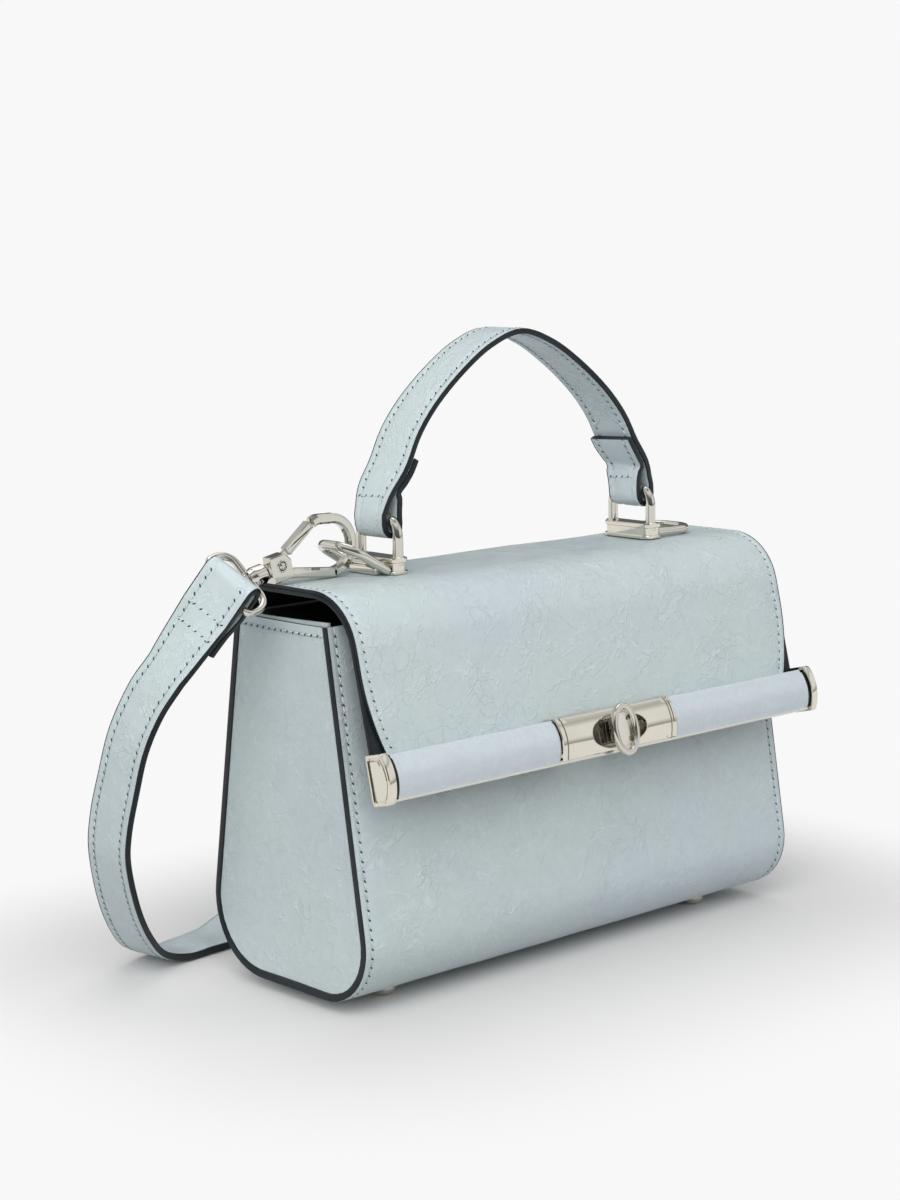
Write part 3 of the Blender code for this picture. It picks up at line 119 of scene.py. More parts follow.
def strokes(g, place, direction, scale, patch):
    """Fine straight hairlines along a direction, in patches."""
    along = Vector(direction).normalized()
    turn = (0.0, -math.asin(along.z), math.atan2(along.y, along.x))
    values = {"Vector": place, "Rotation": turn, "Scale": (7.0, 1.0, 1.0)}
    drawn = g.add("ShaderNodeMapping", values, vector_type="TEXTURE").outputs[0]
    level = g.math("ABSOLUTE", g.math("SUBTRACT", g.noise(scale, 1.0, vector=drawn)["Fac"], 0.5))
    mask = g.remap(g.noise(patch, 2.0, vector=drawn)["Fac"], 0.52, 0.66)
    return g.math("MULTIPLY", g.remap(level, 0.0, 0.055, 1.0, 0.0), mask)


# Directions of the leather's hairlines, how fine they are and how large their patches are
HAIRLINES = [
    ((0.88, 0.20, 0.42), 330.0, 150.0),
    ((0.80, -0.40, -0.45), 290.0, 130.0),
    ((0.55, 0.40, 0.73), 360.0, 140.0),
]


def leather_material(name, green, lilac, creases=1.0, metal=0.12):
    """Pearly calfskin with fine random creases, between two tones."""
    g = Graph(bpy.data.materials.new(name))
    bent = g.vector("MULTIPLY_ADD", g.noise(70.0, 4.0, 0.7)["Color"], (0.010, 0.010, 0.010), g.place)
    hairs = 0.0
    for direction, scale, patch in HAIRLINES:
        hairs = g.math("MAXIMUM", hairs, strokes(g, bent, direction, scale, patch))
    cells = g.add("ShaderNodeTexVoronoi", {"Vector": bent, "Scale": 190.0}, feature="DISTANCE_TO_EDGE")
    creased = g.remap(g.noise(58.0, 3.0, 0.6, 0.3)["Fac"], 0.44, 0.64)
    lines = g.math("MULTIPLY", g.remap(cells.outputs["Distance"], 0.0, 0.05, 1.0, 0.0), creased)
    ripples = g.noise(210.0, 3.0, 0.6, 1.4)["Fac"]
    pores = g.noise(1900.0, 2.0, 0.6)["Fac"]
    height = g.math("MULTIPLY_ADD", lines, -0.65 * creases, g.math("MULTIPLY", ripples, 0.60))
    height = g.math("MULTIPLY_ADD", hairs, 0.90 * creases, height)
    height = g.math("MULTIPLY_ADD", pores, 0.16, height)
    tint = g.mix(g.remap(g.noise(15.0, 2.0)["Fac"], 0.36, 0.64), green, lilac)
    # Painted shade and highlight: the tone follows the relief, darker in the crease lines and lighter on
    # the ripples' raised parts and on the hairlines.
    shade = g.remap(ripples, 0.35, 0.7, 0.965, 1.030, smooth=False)
    shade = g.math("MULTIPLY_ADD", lines, -0.045 * creases, shade)
    shade = g.math("MULTIPLY_ADD", hairs, 0.085 * creases, shade)
    shaded = g.add("ShaderNodeVectorMath", {0: tint, 3: shade}, operation="SCALE").outputs[0]
    rough = g.remap(g.noise(120.0, 3.0)["Fac"], 0.3, 0.7, 0.36, 0.50)
    g.set(Base_Color=shaded, Roughness=rough, Normal=g.bump(height, 0.00017, 0.78), Metallic=metal)
    g.set(Specular_IOR_Level=0.50, Sheen_Weight=0.10, Sheen_Roughness=0.4)
    g.set(Sheen_Tint=(0.86, 0.92, 1.0, 1.0))
    return g.owner


def metal_material(name, tint, rough, brushed=0.0):
    """Polished plate with faint handling marks."""
    g = Graph(bpy.data.materials.new(name))
    smear = g.noise(90.0, 3.0, 0.6, 0.5)["Fac"]
    fine = g.noise(1400.0, 2.0)["Fac"]
    level = g.remap(smear, 0.35, 0.7, rough * 0.7, rough * 1.5, smooth=False)
    height = g.math("MULTIPLY_ADD", fine, 0.3 + brushed, g.noise(260.0, 2.0)["Fac"])
    dark = (tint[0] * 0.90, tint[1] * 0.90, tint[2] * 0.89, 1.0)
    g.set(Base_Color=g.mix(smear, tint, dark), Metallic=1.0, Roughness=level)
    g.set(Normal=g.bump(height, 0.000012, 0.35 + brushed))
    return g.owner


def dull_material(name, tint, rough, scale, depth):
    """Edge paint, lining, thread and board: one tone, broken up by a fine grain."""
    g = Graph(bpy.data.materials.new(name))
    grain = g.noise(scale, 4.0, 0.6)["Fac"]
    cloudy = g.noise(scale * 0.12, 2.0)["Fac"]
    light = tuple(min(1.0, c * 1.35 + 0.004) for c in tint[:3]) + (1.0,)
    g.set(Base_Color=g.mix(g.remap(cloudy, 0.3, 0.75), tint, light))
    g.set(Roughness=g.remap(grain, 0.3, 0.7, rough * 0.85, min(1.0, rough * 1.15), smooth=False))
    g.set(Normal=g.bump(grain, depth, 0.6), Specular_IOR_Level=0.25)
    return g.owner


LEATHER = leather_material("pearl_leather", colour(192, 205, 206), colour(191, 203, 208))
# The bar's sleeves: fewer creases and more metal than the body's leather, and a lighter tone that is
# painted light, standing in for the light the bar takes from the floor below.
SLEEVE = leather_material(
    "pearl_leather_smooth_painted_light", colour(200, 210, 216), colour(199, 209, 216), creases=0.45, metal=0.26
)
EDGE = dull_material("edge_paint", colour(22, 28, 32), 0.34, 700.0, 0.00004)
LINING = dull_material("black_lining", colour(34, 37, 39), 0.62, 1500.0, 0.00005)
THREAD = dull_material("pale_thread", colour(178, 193, 197), 0.55, 2600.0, 0.00006)
# Painted shade: dark discs stand in for the shade inside the needle holes.
HOLE_SHADE = dull_material("needle_hole_shade", colour(40, 50, 56), 0.8, 900.0, 0.00003)
PLATE = metal_material("polished_plate", colour(226, 222, 209), 0.075)
WIRE = metal_material("polished_wire", colour(215, 212, 203), 0.07)
# Painted shade: a darker copy of the plate metal, rougher too, for the window's deep wall and floor, the
# grooves by the ribbed ends and the lock block's base.
RECESS_SHADE = metal_material("shaded_plate", colour(196, 191, 181), 0.34)
# Painted highlight: a lighter, rougher copy of the plate metal for the bar's lip and the knob's pad and
# arms.
LIP_HIGHLIGHT = metal_material("lip_painted_highlight", colour(244, 240, 230), 0.30)
STEEL = metal_material("plain_steel", colour(150, 148, 143), 0.33, 0.3)
BOARD = dull_material("fibre_board", colour(30, 32, 34), 0.85, 800.0, 0.00008)


# Meshes
SIDES = ((-1, "left"), (1, "right"))


def piece(name, verts, faces, materials, body, replaced=(), slots=None, smooth=40):
    """A mesh piece. body is a name, or a tuple (body, next body, start, end) whose entries are not used:
    such a piece is only baked in place and attached to no body.

    slots gives each face's material index.
    """
    mesh = bpy.data.meshes.new(name)
    mesh.from_pydata([tuple(v) for v in verts], [], faces)
    obj = bpy.data.objects.new(name, mesh)
    bpy.context.scene.collection.objects.link(obj)
    for material in materials:
        mesh.materials.append(material)
    if slots:
        mesh.polygons.foreach_set("material_index", slots)
    work = bmesh.new()
    work.from_mesh(mesh)
    bmesh.ops.recalc_face_normals(work, faces=work.faces)
    work.to_mesh(mesh)
    work.free()
    mesh.shade_smooth()
    mesh.set_sharp_from_angle(angle=math.radians(smooth))
    if isinstance(body, tuple):
        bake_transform(obj)
    else:
        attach(obj, body)
    if replaced:
        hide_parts(*replaced)


def loft(rings, closed=False, caps=True, mark=None):
    """Vertices, faces and material indices of a skin over closed rings. mark gives a ring's indices."""
    size, count = len(rings[0]), len(rings)
    verts = [v for ring in rings for v in ring]
    mark = mark or [0] * size
    faces, slots = [], []
    for i in range(count if closed else count - 1):
        a, b = i * size, (i + 1) % count * size
        for k in range(size):
            n = (k + 1) % size
            faces.append((a + k, a + n, b + n, b + k))
        slots += mark
    if caps and not closed:
        faces.append(tuple(range(size))[::-1])
        faces.append(tuple((count - 1) * size + k for k in range(size)))
        slots += [mark[0]] * 2
    return verts, faces, slots


def add_sheet(verts, faces, rows):
    """Add a sheet of quads over rows of points."""
    start, width = len(verts), len(rows[0])
    verts += [v for row in rows for v in row]
    for r in range(len(rows) - 1):
        for k in range(width - 1):
            a = start + r * width + k
            faces.append((a, a + 1, a + width + 1, a + width))


def heading_at(points, i):
    """From the point before one to the point after it, or from the one itself at an end."""
    return points[min(i + 1, len(points) - 1)] - points[max(i - 1, 0)]


def eased(value):
    """A smooth step from 0 to 1."""
    value = min(1.0, max(0.0, value))
    return value * value * (3 - 2 * value)


def frames_along(points, closed, up):
    """For each point, two axes square to the line there, turned as little as possible."""
    made, axis = [], None
    for i in range(len(points)):
        ahead = points[(i + 1) % len(points)] - points[i - 1] if closed else heading_at(points, i)
        ahead.normalize()
        axis = up if axis is None else axis
        axis = (axis - ahead * axis.dot(ahead)).normalized()
        made.append((axis, ahead.cross(axis)))
    return made


def angles(count):
    """Evenly spaced angles once around."""
    return [math.tau * i / count for i in range(count)]


def circle(radius, count=20):
    """A round section, as pairs."""
    return [(radius * math.cos(angle), radius * math.sin(angle)) for angle in angles(count)]


def soft_square(width, height, power, count=28):
    """A superellipse: a flat-sided section with rounded edges."""
    made = []
    for angle in angles(count):
        c, s = math.cos(angle), math.sin(angle)
        a = math.copysign(abs(c) ** (2 / power), c) * width / 2
        b = math.copysign(abs(s) ** (2 / power), s) * height / 2
        made.append((a, b))
    return made


def sweep(points, section, closed=False, up=Z):
    """Rings of a section carried along points."""
    axes = frames_along(points, closed, up)
    return [[point + a * p + b * q for p, q in section] for point, (a, b) in zip(points, axes)]


def curve_point(p0, p1, p2, p3, t):
    """A point from p1 at t of 0 to p2 at 1, on a smooth curve through all four."""
    square = (p0 * 2 - p1 * 5 + p2 * 4 - p3) * t * t
    cube = (p1 * 3 - p0 - p2 * 3 + p3) * t**3
    return (p1 * 2 + (p2 - p0) * t + square + cube) / 2


def fours(points):
    """Each run of four neighbours."""
    return zip(points, points[1:], points[2:], points[3:])


def smooth_points(controls, steps):
    """Points on a smooth curve through the controls."""
    before, after = controls[0] * 2 - controls[1], controls[-1] * 2 - controls[-2]
    made = []
    for four in fours([before] + controls + [after]):
        made += [curve_point(*four, k / steps) for k in range(steps)]
    return made + [controls[-1].copy()]


def spaced(points, step):
    """The same line with points at an even spacing."""
    lengths = [0.0]
    for a, b in zip(points, points[1:]):
        lengths.append(lengths[-1] + (b - a).length)
    count = max(1, round(lengths[-1] / step))
    made, i = [], 0
    for k in range(count + 1):
        at = lengths[-1] * k / count
        while i < len(points) - 2 and lengths[i + 1] < at:
            i += 1
        span = lengths[i + 1] - lengths[i]
        made.append(points[i].lerp(points[i + 1], (at - lengths[i]) / span if span else 0))
    return made


def wobble(point, scale, amount, seed=0.0):
    """A smooth random height at a point."""
    return noise.noise(point * scale + Vector((seed, seed * 1.7, -seed))) * amount


SEAM_INSET = 0.0030
STITCH_PITCH, STITCH_LENGTH, STITCH_WIDTH = 0.0032, 0.0023, 0.00052
STITCH_SLANT = math.radians(10)
STITCH_RINGS = [(-1, 0.25), (-0.8, 0.75), (-0.4, 1.0), (0.0, 1.05), (0.4, 1.0), (0.8, 0.75), (1, 0.25)]
STITCH_SIDES = 6
HOLE_RINGS = [(1.0, 0.00010), (0.5, 0.00014)]


# Bands of leather: a path, the direction of the width, and a section with painted edges
def columns(width, count):
    """Distances from a band's middle line, dense near its edges."""
    edge = [0.0003, 0.0010, 0.0018, 0.0024, 0.0028, 0.0032, 0.0037, 0.0045]
    outer = [width / 2 - d for d in edge]
    plus = outer + [outer[-1] * (1 - (i + 1) / count) for i in range(count)]
    return [-c for c in plus[:-1]] + plus[::-1]


def band_section(width, thickness, count):
    """A closed section of (across, depth, kind): kind 0 is the face, 1 the edges, 2 the underside."""
    half, soft, bulge = width / 2, min(0.0005, thickness * 0.3), 0.00012
    made = [(a, 0.0, 0) for a in columns(width, count)]
    right = [
        (half + bulge * 0.5, soft * 0.35, 1),
        (half + bulge, soft, 1),
        (half + bulge, thickness - soft, 1),
        (half + bulge * 0.5, thickness - soft * 0.35, 1),
    ]
    under = [(a, thickness, 2) for a in (half - 0.0004, half * 0.5, 0.0, -half * 0.5, -half + 0.0004)]
    return made + right + under + [(-a, d, kind) for a, d, kind in right[::-1]]


def band(name, stations, thickness, materials, body, relief=None, replaced=()):
    """A leather band. A station is (place on its outer face, width direction, outward, width)."""
    count = max(2, round((max(s[3] for s in stations) / 2 - 0.0045) / 0.0055))
    rings = []
    for place, side, out, width in stations:
        ring = []
        for across, depth, kind in band_section(width, thickness, count):
            point = place + side * across - out * depth
            if relief and kind == 0:
                point = point + out * relief(point, across, width)
            ring.append(point)
        rings.append(ring)
    kinds = [kind for across, depth, kind in band_section(width, thickness, count)]
    mark = [1 if 1 in (k, n) else k for k, n in zip(kinds, kinds[1:] + kinds[:1])]
    verts, faces, slots = loft(rings, mark=mark)
    slots[-1] = slots[-2] = 1
    piece(name, verts, faces, materials, body, replaced, slots, smooth=50)


def seam_relief(depth=0.00028, drift=0.00025, seed=0.0):
    """Heights of a stitched furrow near each edge and of a slow unevenness everywhere."""
    def height(point, across, width):
        edge = width / 2 - abs(across)
        furrow = -depth * math.exp(-(((edge - SEAM_INSET) / 0.0007) ** 2))
        lip = -0.00035 * max(0.0, 1 - edge / 0.0014) ** 2
        slow = wobble(point, 26.0, drift, seed) * min(1.0, edge / 0.012)
        return furrow + lip + slow + wobble(point, 90.0, drift * 0.25, seed)
    return height


def stitches(name, points, outs, body):
    """A row of thread stitches along points, with a dark disc of painted shade for the needle hole after
    each.
    """
    line = spaced(points, STITCH_PITCH)
    verts, faces, slots = [], [], []
    cos, sin = math.cos(STITCH_SLANT), math.sin(STITCH_SLANT)
    around = [(math.cos(angle), math.sin(angle)) for angle in angles(STITCH_SIDES)]
    for before, spot in zip(line, line[1:]):
        mid = (before + spot) / 2
        nearest = min(range(len(points)), key=lambda k: (points[k] - mid).length_squared)
        out = outs[nearest].normalized()
        ahead = (spot - before).normalized()
        side = out.cross(ahead).normalized()
        ahead, side = ahead * cos + side * sin, side * cos - ahead * sin
        cut = (ahead + side * 0.6).normalized()
        thread, hole = [], []
        for t, fat in STITCH_RINGS:
            centre = mid + ahead * t * STITCH_LENGTH / 2 + out * (0.00012 - 0.00022 * t * t)
            radius = fat * STITCH_WIDTH / 2
            thread.append([centre + (side * c + out * s * 0.8) * radius for c, s in around])
        for size, lift in HOLE_RINGS:
            edge = [side * c * 0.00036 + cut * s * 0.00068 for c, s in around]
            hole.append([spot + reach * size + out * lift for reach in edge])
        for kind, rings in enumerate((thread, hole)):
            v, f, s = loft(rings, caps=kind == 0)
            if kind == 1:
                f.append(tuple(range(STITCH_SIDES, 2 * STITCH_SIDES)))
            faces += [tuple(len(verts) + i for i in face) for face in f]
            slots += [kind] * len(f)
            verts += v
    piece(name, verts, faces, [THREAD, HOLE_SHADE], body, (), slots, smooth=60)


# Outlines shared with the solids
def arc(centre, radius, start_deg, end_deg, steps):
    """Pairs along an arc, its ends included."""
    made = []
    for i in range(steps + 1):
        angle = math.radians(start_deg + (end_deg - start_deg) * i / steps)
        made.append((centre[0] + radius * math.cos(angle), centre[1] + radius * math.sin(angle)))
    return made


def mm(*pairs):
    """Pairs of millimetres as metres."""
    return [tuple(round(value / 1000, 7) for value in pair) for pair in pairs]


def part_way(a, b, share):
    """A pair of numbers some share of the way from a to b."""
    return tuple(p + (q - p) * share for p, q in zip(a, b))


def filleted(corners, radii, steps=14):
    """An open outline with its inner corners rounded."""
    made = [corners[0]]
    for before, corner, after, radius in zip(corners, corners[1:], corners[2:], radii):
        into = (Vector(corner) - Vector(before)).normalized()
        out = (Vector(after) - Vector(corner)).normalized()
        turn = math.atan2(into.x * out.y - into.y * out.x, into.dot(out))
        start = Vector(corner) - into * radius * math.tan(abs(turn) / 2)
        side = math.copysign(1, turn)
        centre = start + Vector((-into.y, into.x)) * radius * side
        first = math.degrees(math.atan2(start.y - centre.y, start.x - centre.x))
        made += arc(centre, radius, first, first + math.degrees(turn), steps)
    return made + [corners[-1]]


BODY_TOP = 0.1256
TOP_HALF, BASE_HALF = 0.0242, 0.0440
FRONT_CORNER, BACK_CORNER = 0.0210, 0.0250
BODY_CORNERS = [(-TOP_HALF, BODY_TOP), (-BASE_HALF, 0.0), (BASE_HALF, 0.0), (TOP_HALF, BODY_TOP)]
BODY_LINE = filleted(BODY_CORNERS, (FRONT_CORNER, BACK_CORNER))
BACK_SLOPE = (BASE_HALF - TOP_HALF) / BODY_TOP
FLAP_TOP = 0.1368
FLAP_FRONT = Vector((0, -0.0327, FLAP_TOP))
FALL_SLOPE = math.radians(13.44)
DOWN = Vector((0, -math.sin(FALL_SLOPE), -math.cos(FALL_SLOPE)))
OUTWARD = Vector((0, -math.cos(FALL_SLOPE), math.sin(FALL_SLOPE)))
FALL_LENGTH = 0.0512
BAR_HEIGHT, BAR_DEPTH, BAR_EDGE_DEPTH, BAR_BACK = 0.0167, 0.0103, 0.0079, 0.0022


def fall_point(distance, outward=0.0):
    """A point on the flap's front, by its distance down from the flap's sharp front corner."""
    return FLAP_FRONT + DOWN * distance + OUTWARD * outward


def bar_place(u, v, x=0.0):
    """A point of the bar: u out from its back, v up from its bottom."""
    return fall_point(FALL_LENGTH + BAR_HEIGHT - v, u - BAR_BACK) + X * x


def lifted(line):
    """Pairs of (y, z) as points."""
    return [Vector((0, y, z)) for y, z in line]


def outward_of(points):
    """Outward directions of a line that runs down the front, under and up the back."""
    ahead = [heading_at(points, i) for i in range(len(points))]
    return [Vector((0, way.z, -way.y)).normalized() for way in ahead]


# Body
BODY_WIDTH, BODY_THICKNESS = 0.2098, 0.0027


def make_body():
    line = spaced(lifted(BODY_LINE), 0.0035)
    outs = outward_of(line)
    stations = [(point - out * 0.0001, X, out, BODY_WIDTH) for point, out in zip(line, outs)]
    finish, relief = [LEATHER, EDGE, LINING], seam_relief(seed=3.0)
    band("body_leather", stations, BODY_THICKNESS, finish, "body", relief, ("body_wrap",))
    for side, word in SIDES:
        row = [Vector((side * 0.1019, p.y, p.z)) - out * 0.0003 for p, out in zip(line, outs)]
        stitches(f"body_stitches_{word}", row, outs, "body")
        make_gusset(side, word)
    make_lining()


def outline_y(z, inset):
    """Where the body's section, inset, crosses a height: its front and back y."""
    line = [Vector((y, h)) for y, h in BODY_LINE]
    made = []
    for half in (line[: len(line) // 2 + 1], line[len(line) // 2 :][::-1]):
        crossing = None
        for a, b in zip(half, half[1:]):
            if (a.y - z) * (b.y - z) <= 0 and a.y != b.y:
                t = (z - a.y) / (b.y - a.y)
                crossing = a.x + (b.x - a.x) * t
                run = (b - a).normalized()
                crossing += math.copysign(inset / max(0.2, abs(run.y)), -crossing)
                break
        made.append(crossing)
    return made


def gusset_rows(inset, top_z, dip):
    """Rows of (y, z, share across, share up) over the gusset, from its bottom up."""
    ends = []
    for level in (0.0, 0.02, 0.06, 0.12, 0.2, 0.32, 0.46, 0.62, 0.8, 1.0):
        angle = math.radians(99 * level)
        row = []
        for centre, corner in ((-0.0194, -FRONT_CORNER), (0.0147, BACK_CORNER)):
            radius = abs(corner) - inset
            out = math.copysign(radius, corner)
            row.append((centre + out * math.sin(angle), abs(corner) - radius * math.cos(angle)))
        ends.append(row)
    straight, rounded = 24, len(ends)
    low = [z for y, z in ends[-1]]
    for i in range(1, straight + 1):
        heights = [z + (top_z - z) * (i / straight) for z in low]
        ends.append([(outline_y(z, inset)[k], z) for k, z in enumerate(heights)])
    shares = [0, 0.012, 0.03, 0.055, 0.09, 0.14, 0.2, 0.28, 0.36, 0.44, 0.5]
    shares += [1 - s for s in shares[-2::-1]]
    made = []
    for number, (front, back) in enumerate(ends):
        sag = dip * max(0.0, (number - rounded) / (straight - 1)) ** 3
        row = []
        for s in shares:
            y, z = part_way(front, back, s)
            row.append((y, z - sag * 4 * s * (1 - s), s, number / (len(ends) - 1)))
        made.append(row)
    return made


GUSSET_FACE, GUSSET_THICKNESS, GUSSET_STITCHES = 0.1044, 0.0014, 0.1046


def make_gusset(side, word):
    rows = gusset_rows(0.0019, BODY_TOP - 0.0004, 0.0003)
    width, last = len(rows[0]), (len(rows) - 1) * len(rows[0])
    verts, faces, slots = [], [], []
    for depth in (0.0, GUSSET_THICKNESS):
        for y, z, s, t in sum(rows, []):
            edge = min(s, 1 - s) * 0.06
            rim = max(0.0, 1 - min(edge, z * 0.8 + 0.0002) / 0.0030)
            belly = -0.0011 * math.sin(math.pi * s) ** 1.2 * math.sin(math.pi * t**0.8)
            soft = wobble(Vector((side, y, z)), 30.0, 0.0004, 5.0 + side)
            x = GUSSET_FACE + belly + soft * min(1.0, edge / 0.01) + rim * rim * 0.0003 - depth
            verts.append(Vector((side * x, y, z)))
    count = len(verts) // 2
    for r in range(len(rows) - 1):
        for c in range(width - 1):
            a = r * width + c
            quad = (a, a + 1, a + width + 1, a + width)
            faces += [quad, tuple(count + i for i in quad[::-1])]
            slots += [0, 2]
    border = [*range(width), *range(2 * width - 1, last + width, width)]
    border += [*range(last + width - 2, last - 1, -1), *range(last - width, 0, -width)]
    for a, b in zip(border, border[1:] + border[:1]):
        faces.append((a, b, count + b, count + a))
        slots.append(1)
    finish = [LEATHER, EDGE, LINING]
    piece(f"gusset_leather_{word}", verts, faces, finish, "body", (f"gusset_{word}",), slots)

    facing = []
    for y, z, s, t in rows[-1][1:-1]:
        low, high = z - 0.004, z + 0.0013 - 0.0009 * s
        corners = [(0.1016, low), (0.1016, high), (0.1027, high), (0.1027, low)]
        facing.append([Vector((side * x, y, h)) for x, h in corners])
    verts, faces, slots = loft(facing)
    piece(f"gusset_facing_{word}", verts, faces, [LEATHER], "body", (), slots, smooth=30)
    top = [Vector((side * GUSSET_STITCHES, y, z - SEAM_INSET)) for y, z, s, t in rows[-1]][1:-1]
    stitches(f"gusset_stitches_{word}", top, [X * side] * len(top), "body")


def make_lining():
    """The black inner bag, open at the top."""
    inset, half, thick = 0.0044, 0.1012, 0.0007
    line = spaced(lifted(BODY_LINE), 0.005)
    outs = outward_of(line)
    count = len(line)
    verts, faces = [], []
    for depth, sense in ((0.0, 1), (thick, -1)):
        rows = [
            [Vector((x, p.y, p.z)) - o * (inset + depth) for p, o in zip(line, outs)]
            for x in (-half + depth, half - depth)
        ]
        start = len(verts)
        verts += rows[0] + rows[1]
        for k in range(count - 1):
            a = start + k
            faces.append((a, a + 1, a + count + 1, a + count)[::sense])
        for side in (0, 1):
            first = start + side * count
            turn = sense if side else -sense
            for k in range(count // 2 - 1):
                a, b = first + k, first + count - 1 - k
                faces.append((a, a + 1, b - 1, b)[::turn])
            if count % 2:
                k = count // 2
                faces.append((first + k - 1, first + k, first + k + 1)[::turn])
    inner = 2 * count
    rim = [0, count - 1, 2 * count - 1, count]
    for a, b in zip(rim, rim[1:] + rim[:1]):
        faces.append((a, b, inner + b, inner + a))
    piece("inner_lining", verts, faces, [LINING], "body", ("lining",))


# Flap
FLAP_HALF = 0.1033
COVER_THICKNESS, BACKING_THICKNESS, COVER_TO_BACKING = 0.0013, 0.0017, 0.0012
# How far the cover narrows towards the bar, over what length, and how far before its end that stops
NARROWING, NARROWING_LENGTH, NARROWING_STOP = 0.0046, 0.026, 0.0015
FLAP_CORNERS = [
    (TOP_HALF - BACK_SLOPE * 0.0003, BODY_TOP + 0.0003),
    (TOP_HALF - BACK_SLOPE * (FLAP_TOP - BODY_TOP), FLAP_TOP),
    (FLAP_FRONT.y, FLAP_TOP),
    tuple(fall_point(FALL_LENGTH + 0.0015).yz),
]
FLAP_LINE = filleted(FLAP_CORNERS, (0.0090, 0.0214))
FLAP_BENDS = ("flap", "fall", (0, -0.0352, 0.1262), (0, -0.0383, 0.1132))


def make_flap():
    line = spaced(lifted(FLAP_LINE), 0.0026)
    outs = outward_of(line)
    total = sum((b - a).length for a, b in zip(line, line[1:]))
    stations, backing, run = [], [], 0.0
    for i, (point, out) in enumerate(zip(line, outs)):
        run += (point - line[i - 1]).length if i else 0.0
        left = max(0.0, 1 - (total - run - NARROWING_STOP) / NARROWING_LENGTH)
        inward = NARROWING * left * left
        stations.append((point, X, out, 2 * (FLAP_HALF - inward)))
        backing.append((point - out * COVER_TO_BACKING, X, out, 2 * (FLAP_HALF + 0.0002)))
    relief = seam_relief(seed=8.0, drift=0.0004)
    finish, replaced = [LEATHER, EDGE, EDGE], ("flap_cover", "fall_cover")
    band("flap_leather", stations, COVER_THICKNESS, finish, FLAP_BENDS, relief, replaced)
    finish, replaced = [EDGE, EDGE, LINING], ("flap_lining", "fall_lining")
    band("flap_backing", backing[1:], BACKING_THICKNESS, finish, FLAP_BENDS, None, replaced)
    for side, word in SIDES:
        row = [p + X * side * (w / 2 - SEAM_INSET) - o * 0.00032 for p, x, o, w in stations][1:-1]
        stitches(f"flap_stitches_{word}", row, outs[1:-1], FLAP_BENDS)


# Bar
def bar_front(inset):
    """Half the height of the bar's curved front and its radius."""
    half, bulge = BAR_HEIGHT / 2 - inset, BAR_DEPTH - BAR_EDGE_DEPTH
    return half, (half * half + bulge * bulge) / (2 * bulge)


def bar_outline(inset, steps=12):
    """The bar's D section as (u, v), from its back's bottom round the front to its back's top."""
    half, radius = bar_front(inset)
    spread = math.degrees(math.asin(half / radius))
    front = arc((BAR_DEPTH - inset - radius, BAR_HEIGHT / 2), radius, -spread, spread, steps)
    return [(inset, inset)] + front + [(inset, BAR_HEIGHT - inset)]


def softened(points):
    """An open polyline with its corners cut twice."""
    for _ in range(2):
        made = [points[0]]
        for a, b in zip(points, points[1:]):
            made += [tuple(p * (1 - t) + q * t for p, q in zip(a, b)) for t in (0.25, 0.75)]
        points = made + [points[-1]]
    return points


def front_path(inset, low, back, corner=0.0011):
    """The bar's front and top as (u, v), from just above a height to behind, with a rounded top edge."""
    line = [p for p in bar_outline(inset)[1:-1] if p[1] > low + 0.0002]
    edge_u, top = line[-1]
    line = [p for p in line if p[1] < top - corner]
    turn = [(edge_u + corner * 0.18, top - corner), (edge_u - 0.0001, top), (edge_u - corner, top)]
    return [(line[0][0] - 0.0001, low)] + line + softened(turn) + [(back, top)]


SLEEVE_FROM, SLEEVE_TO = 0.0285, 0.1025
# The sleeve's last rings take the edge paint over a width that also stands in for the dark gap beside the
# cap: edge paint and painted shade.
PAINTED_RINGS = 4


def make_bar():
    outer, inner = front_path(0.0008, 0.0015, 0.0030), front_path(0.0017, 0.0017, 0.0032)
    stops = [SLEEVE_FROM, 0.0286, 0.0290] + [0.0298 + (0.1012 - 0.0298) * i / 22 for i in range(22)]
    stops += [0.1013, 0.1016, 0.1021, SLEEVE_TO]
    for side, word in SIDES:
        rings = []
        for x in stops:
            tuck = 0.0003 * max(0.0, 1 - min(x - SLEEVE_FROM, SLEEVE_TO - x) / 0.0006) ** 2
            ring = []
            for front, behind in zip(outer, inner):
                soft = wobble(Vector((side * x, *front)), 55.0, 0.00012, 2.0)
                ring.append(part_way(front, behind, (tuck - soft) / 0.0009))
            rings.append([bar_place(u, v, side * x) for u, v in ring + inner[::-1]])
        verts, faces, slots = loft(rings)
        # The end rings take the edge paint: real at the cut end, and painted shade of the gap beside the
        # cap over the rest.
        painted = (len(rings) - PAINTED_RINGS) * len(rings[0])
        slots = [int(n >= painted) for n in range(len(faces))]
        node = (f"bar_sleeve_{word}",)
        piece(f"sleeve_{word}", verts, faces, [SLEEVE, EDGE], "fall", node, slots, smooth=45)
        make_cap(side, word)
    lip = mm((0.4, 0.55), (5.6, 0.55), (6.4, 0.7), (6.8, 0.9), (6.8, 1.2), (6.2, 1.5), (0.4, 1.5))
    rings = [[bar_place(u, v, x) for u, v in lip] for x in (-0.1027, -0.1, 0.1, 0.1027)]
    # The lip takes the lighter copy of the metal: painted highlight.
    merged("bar_lip", [rings], [LIP_HIGHLIGHT], "fall")
    make_plate()


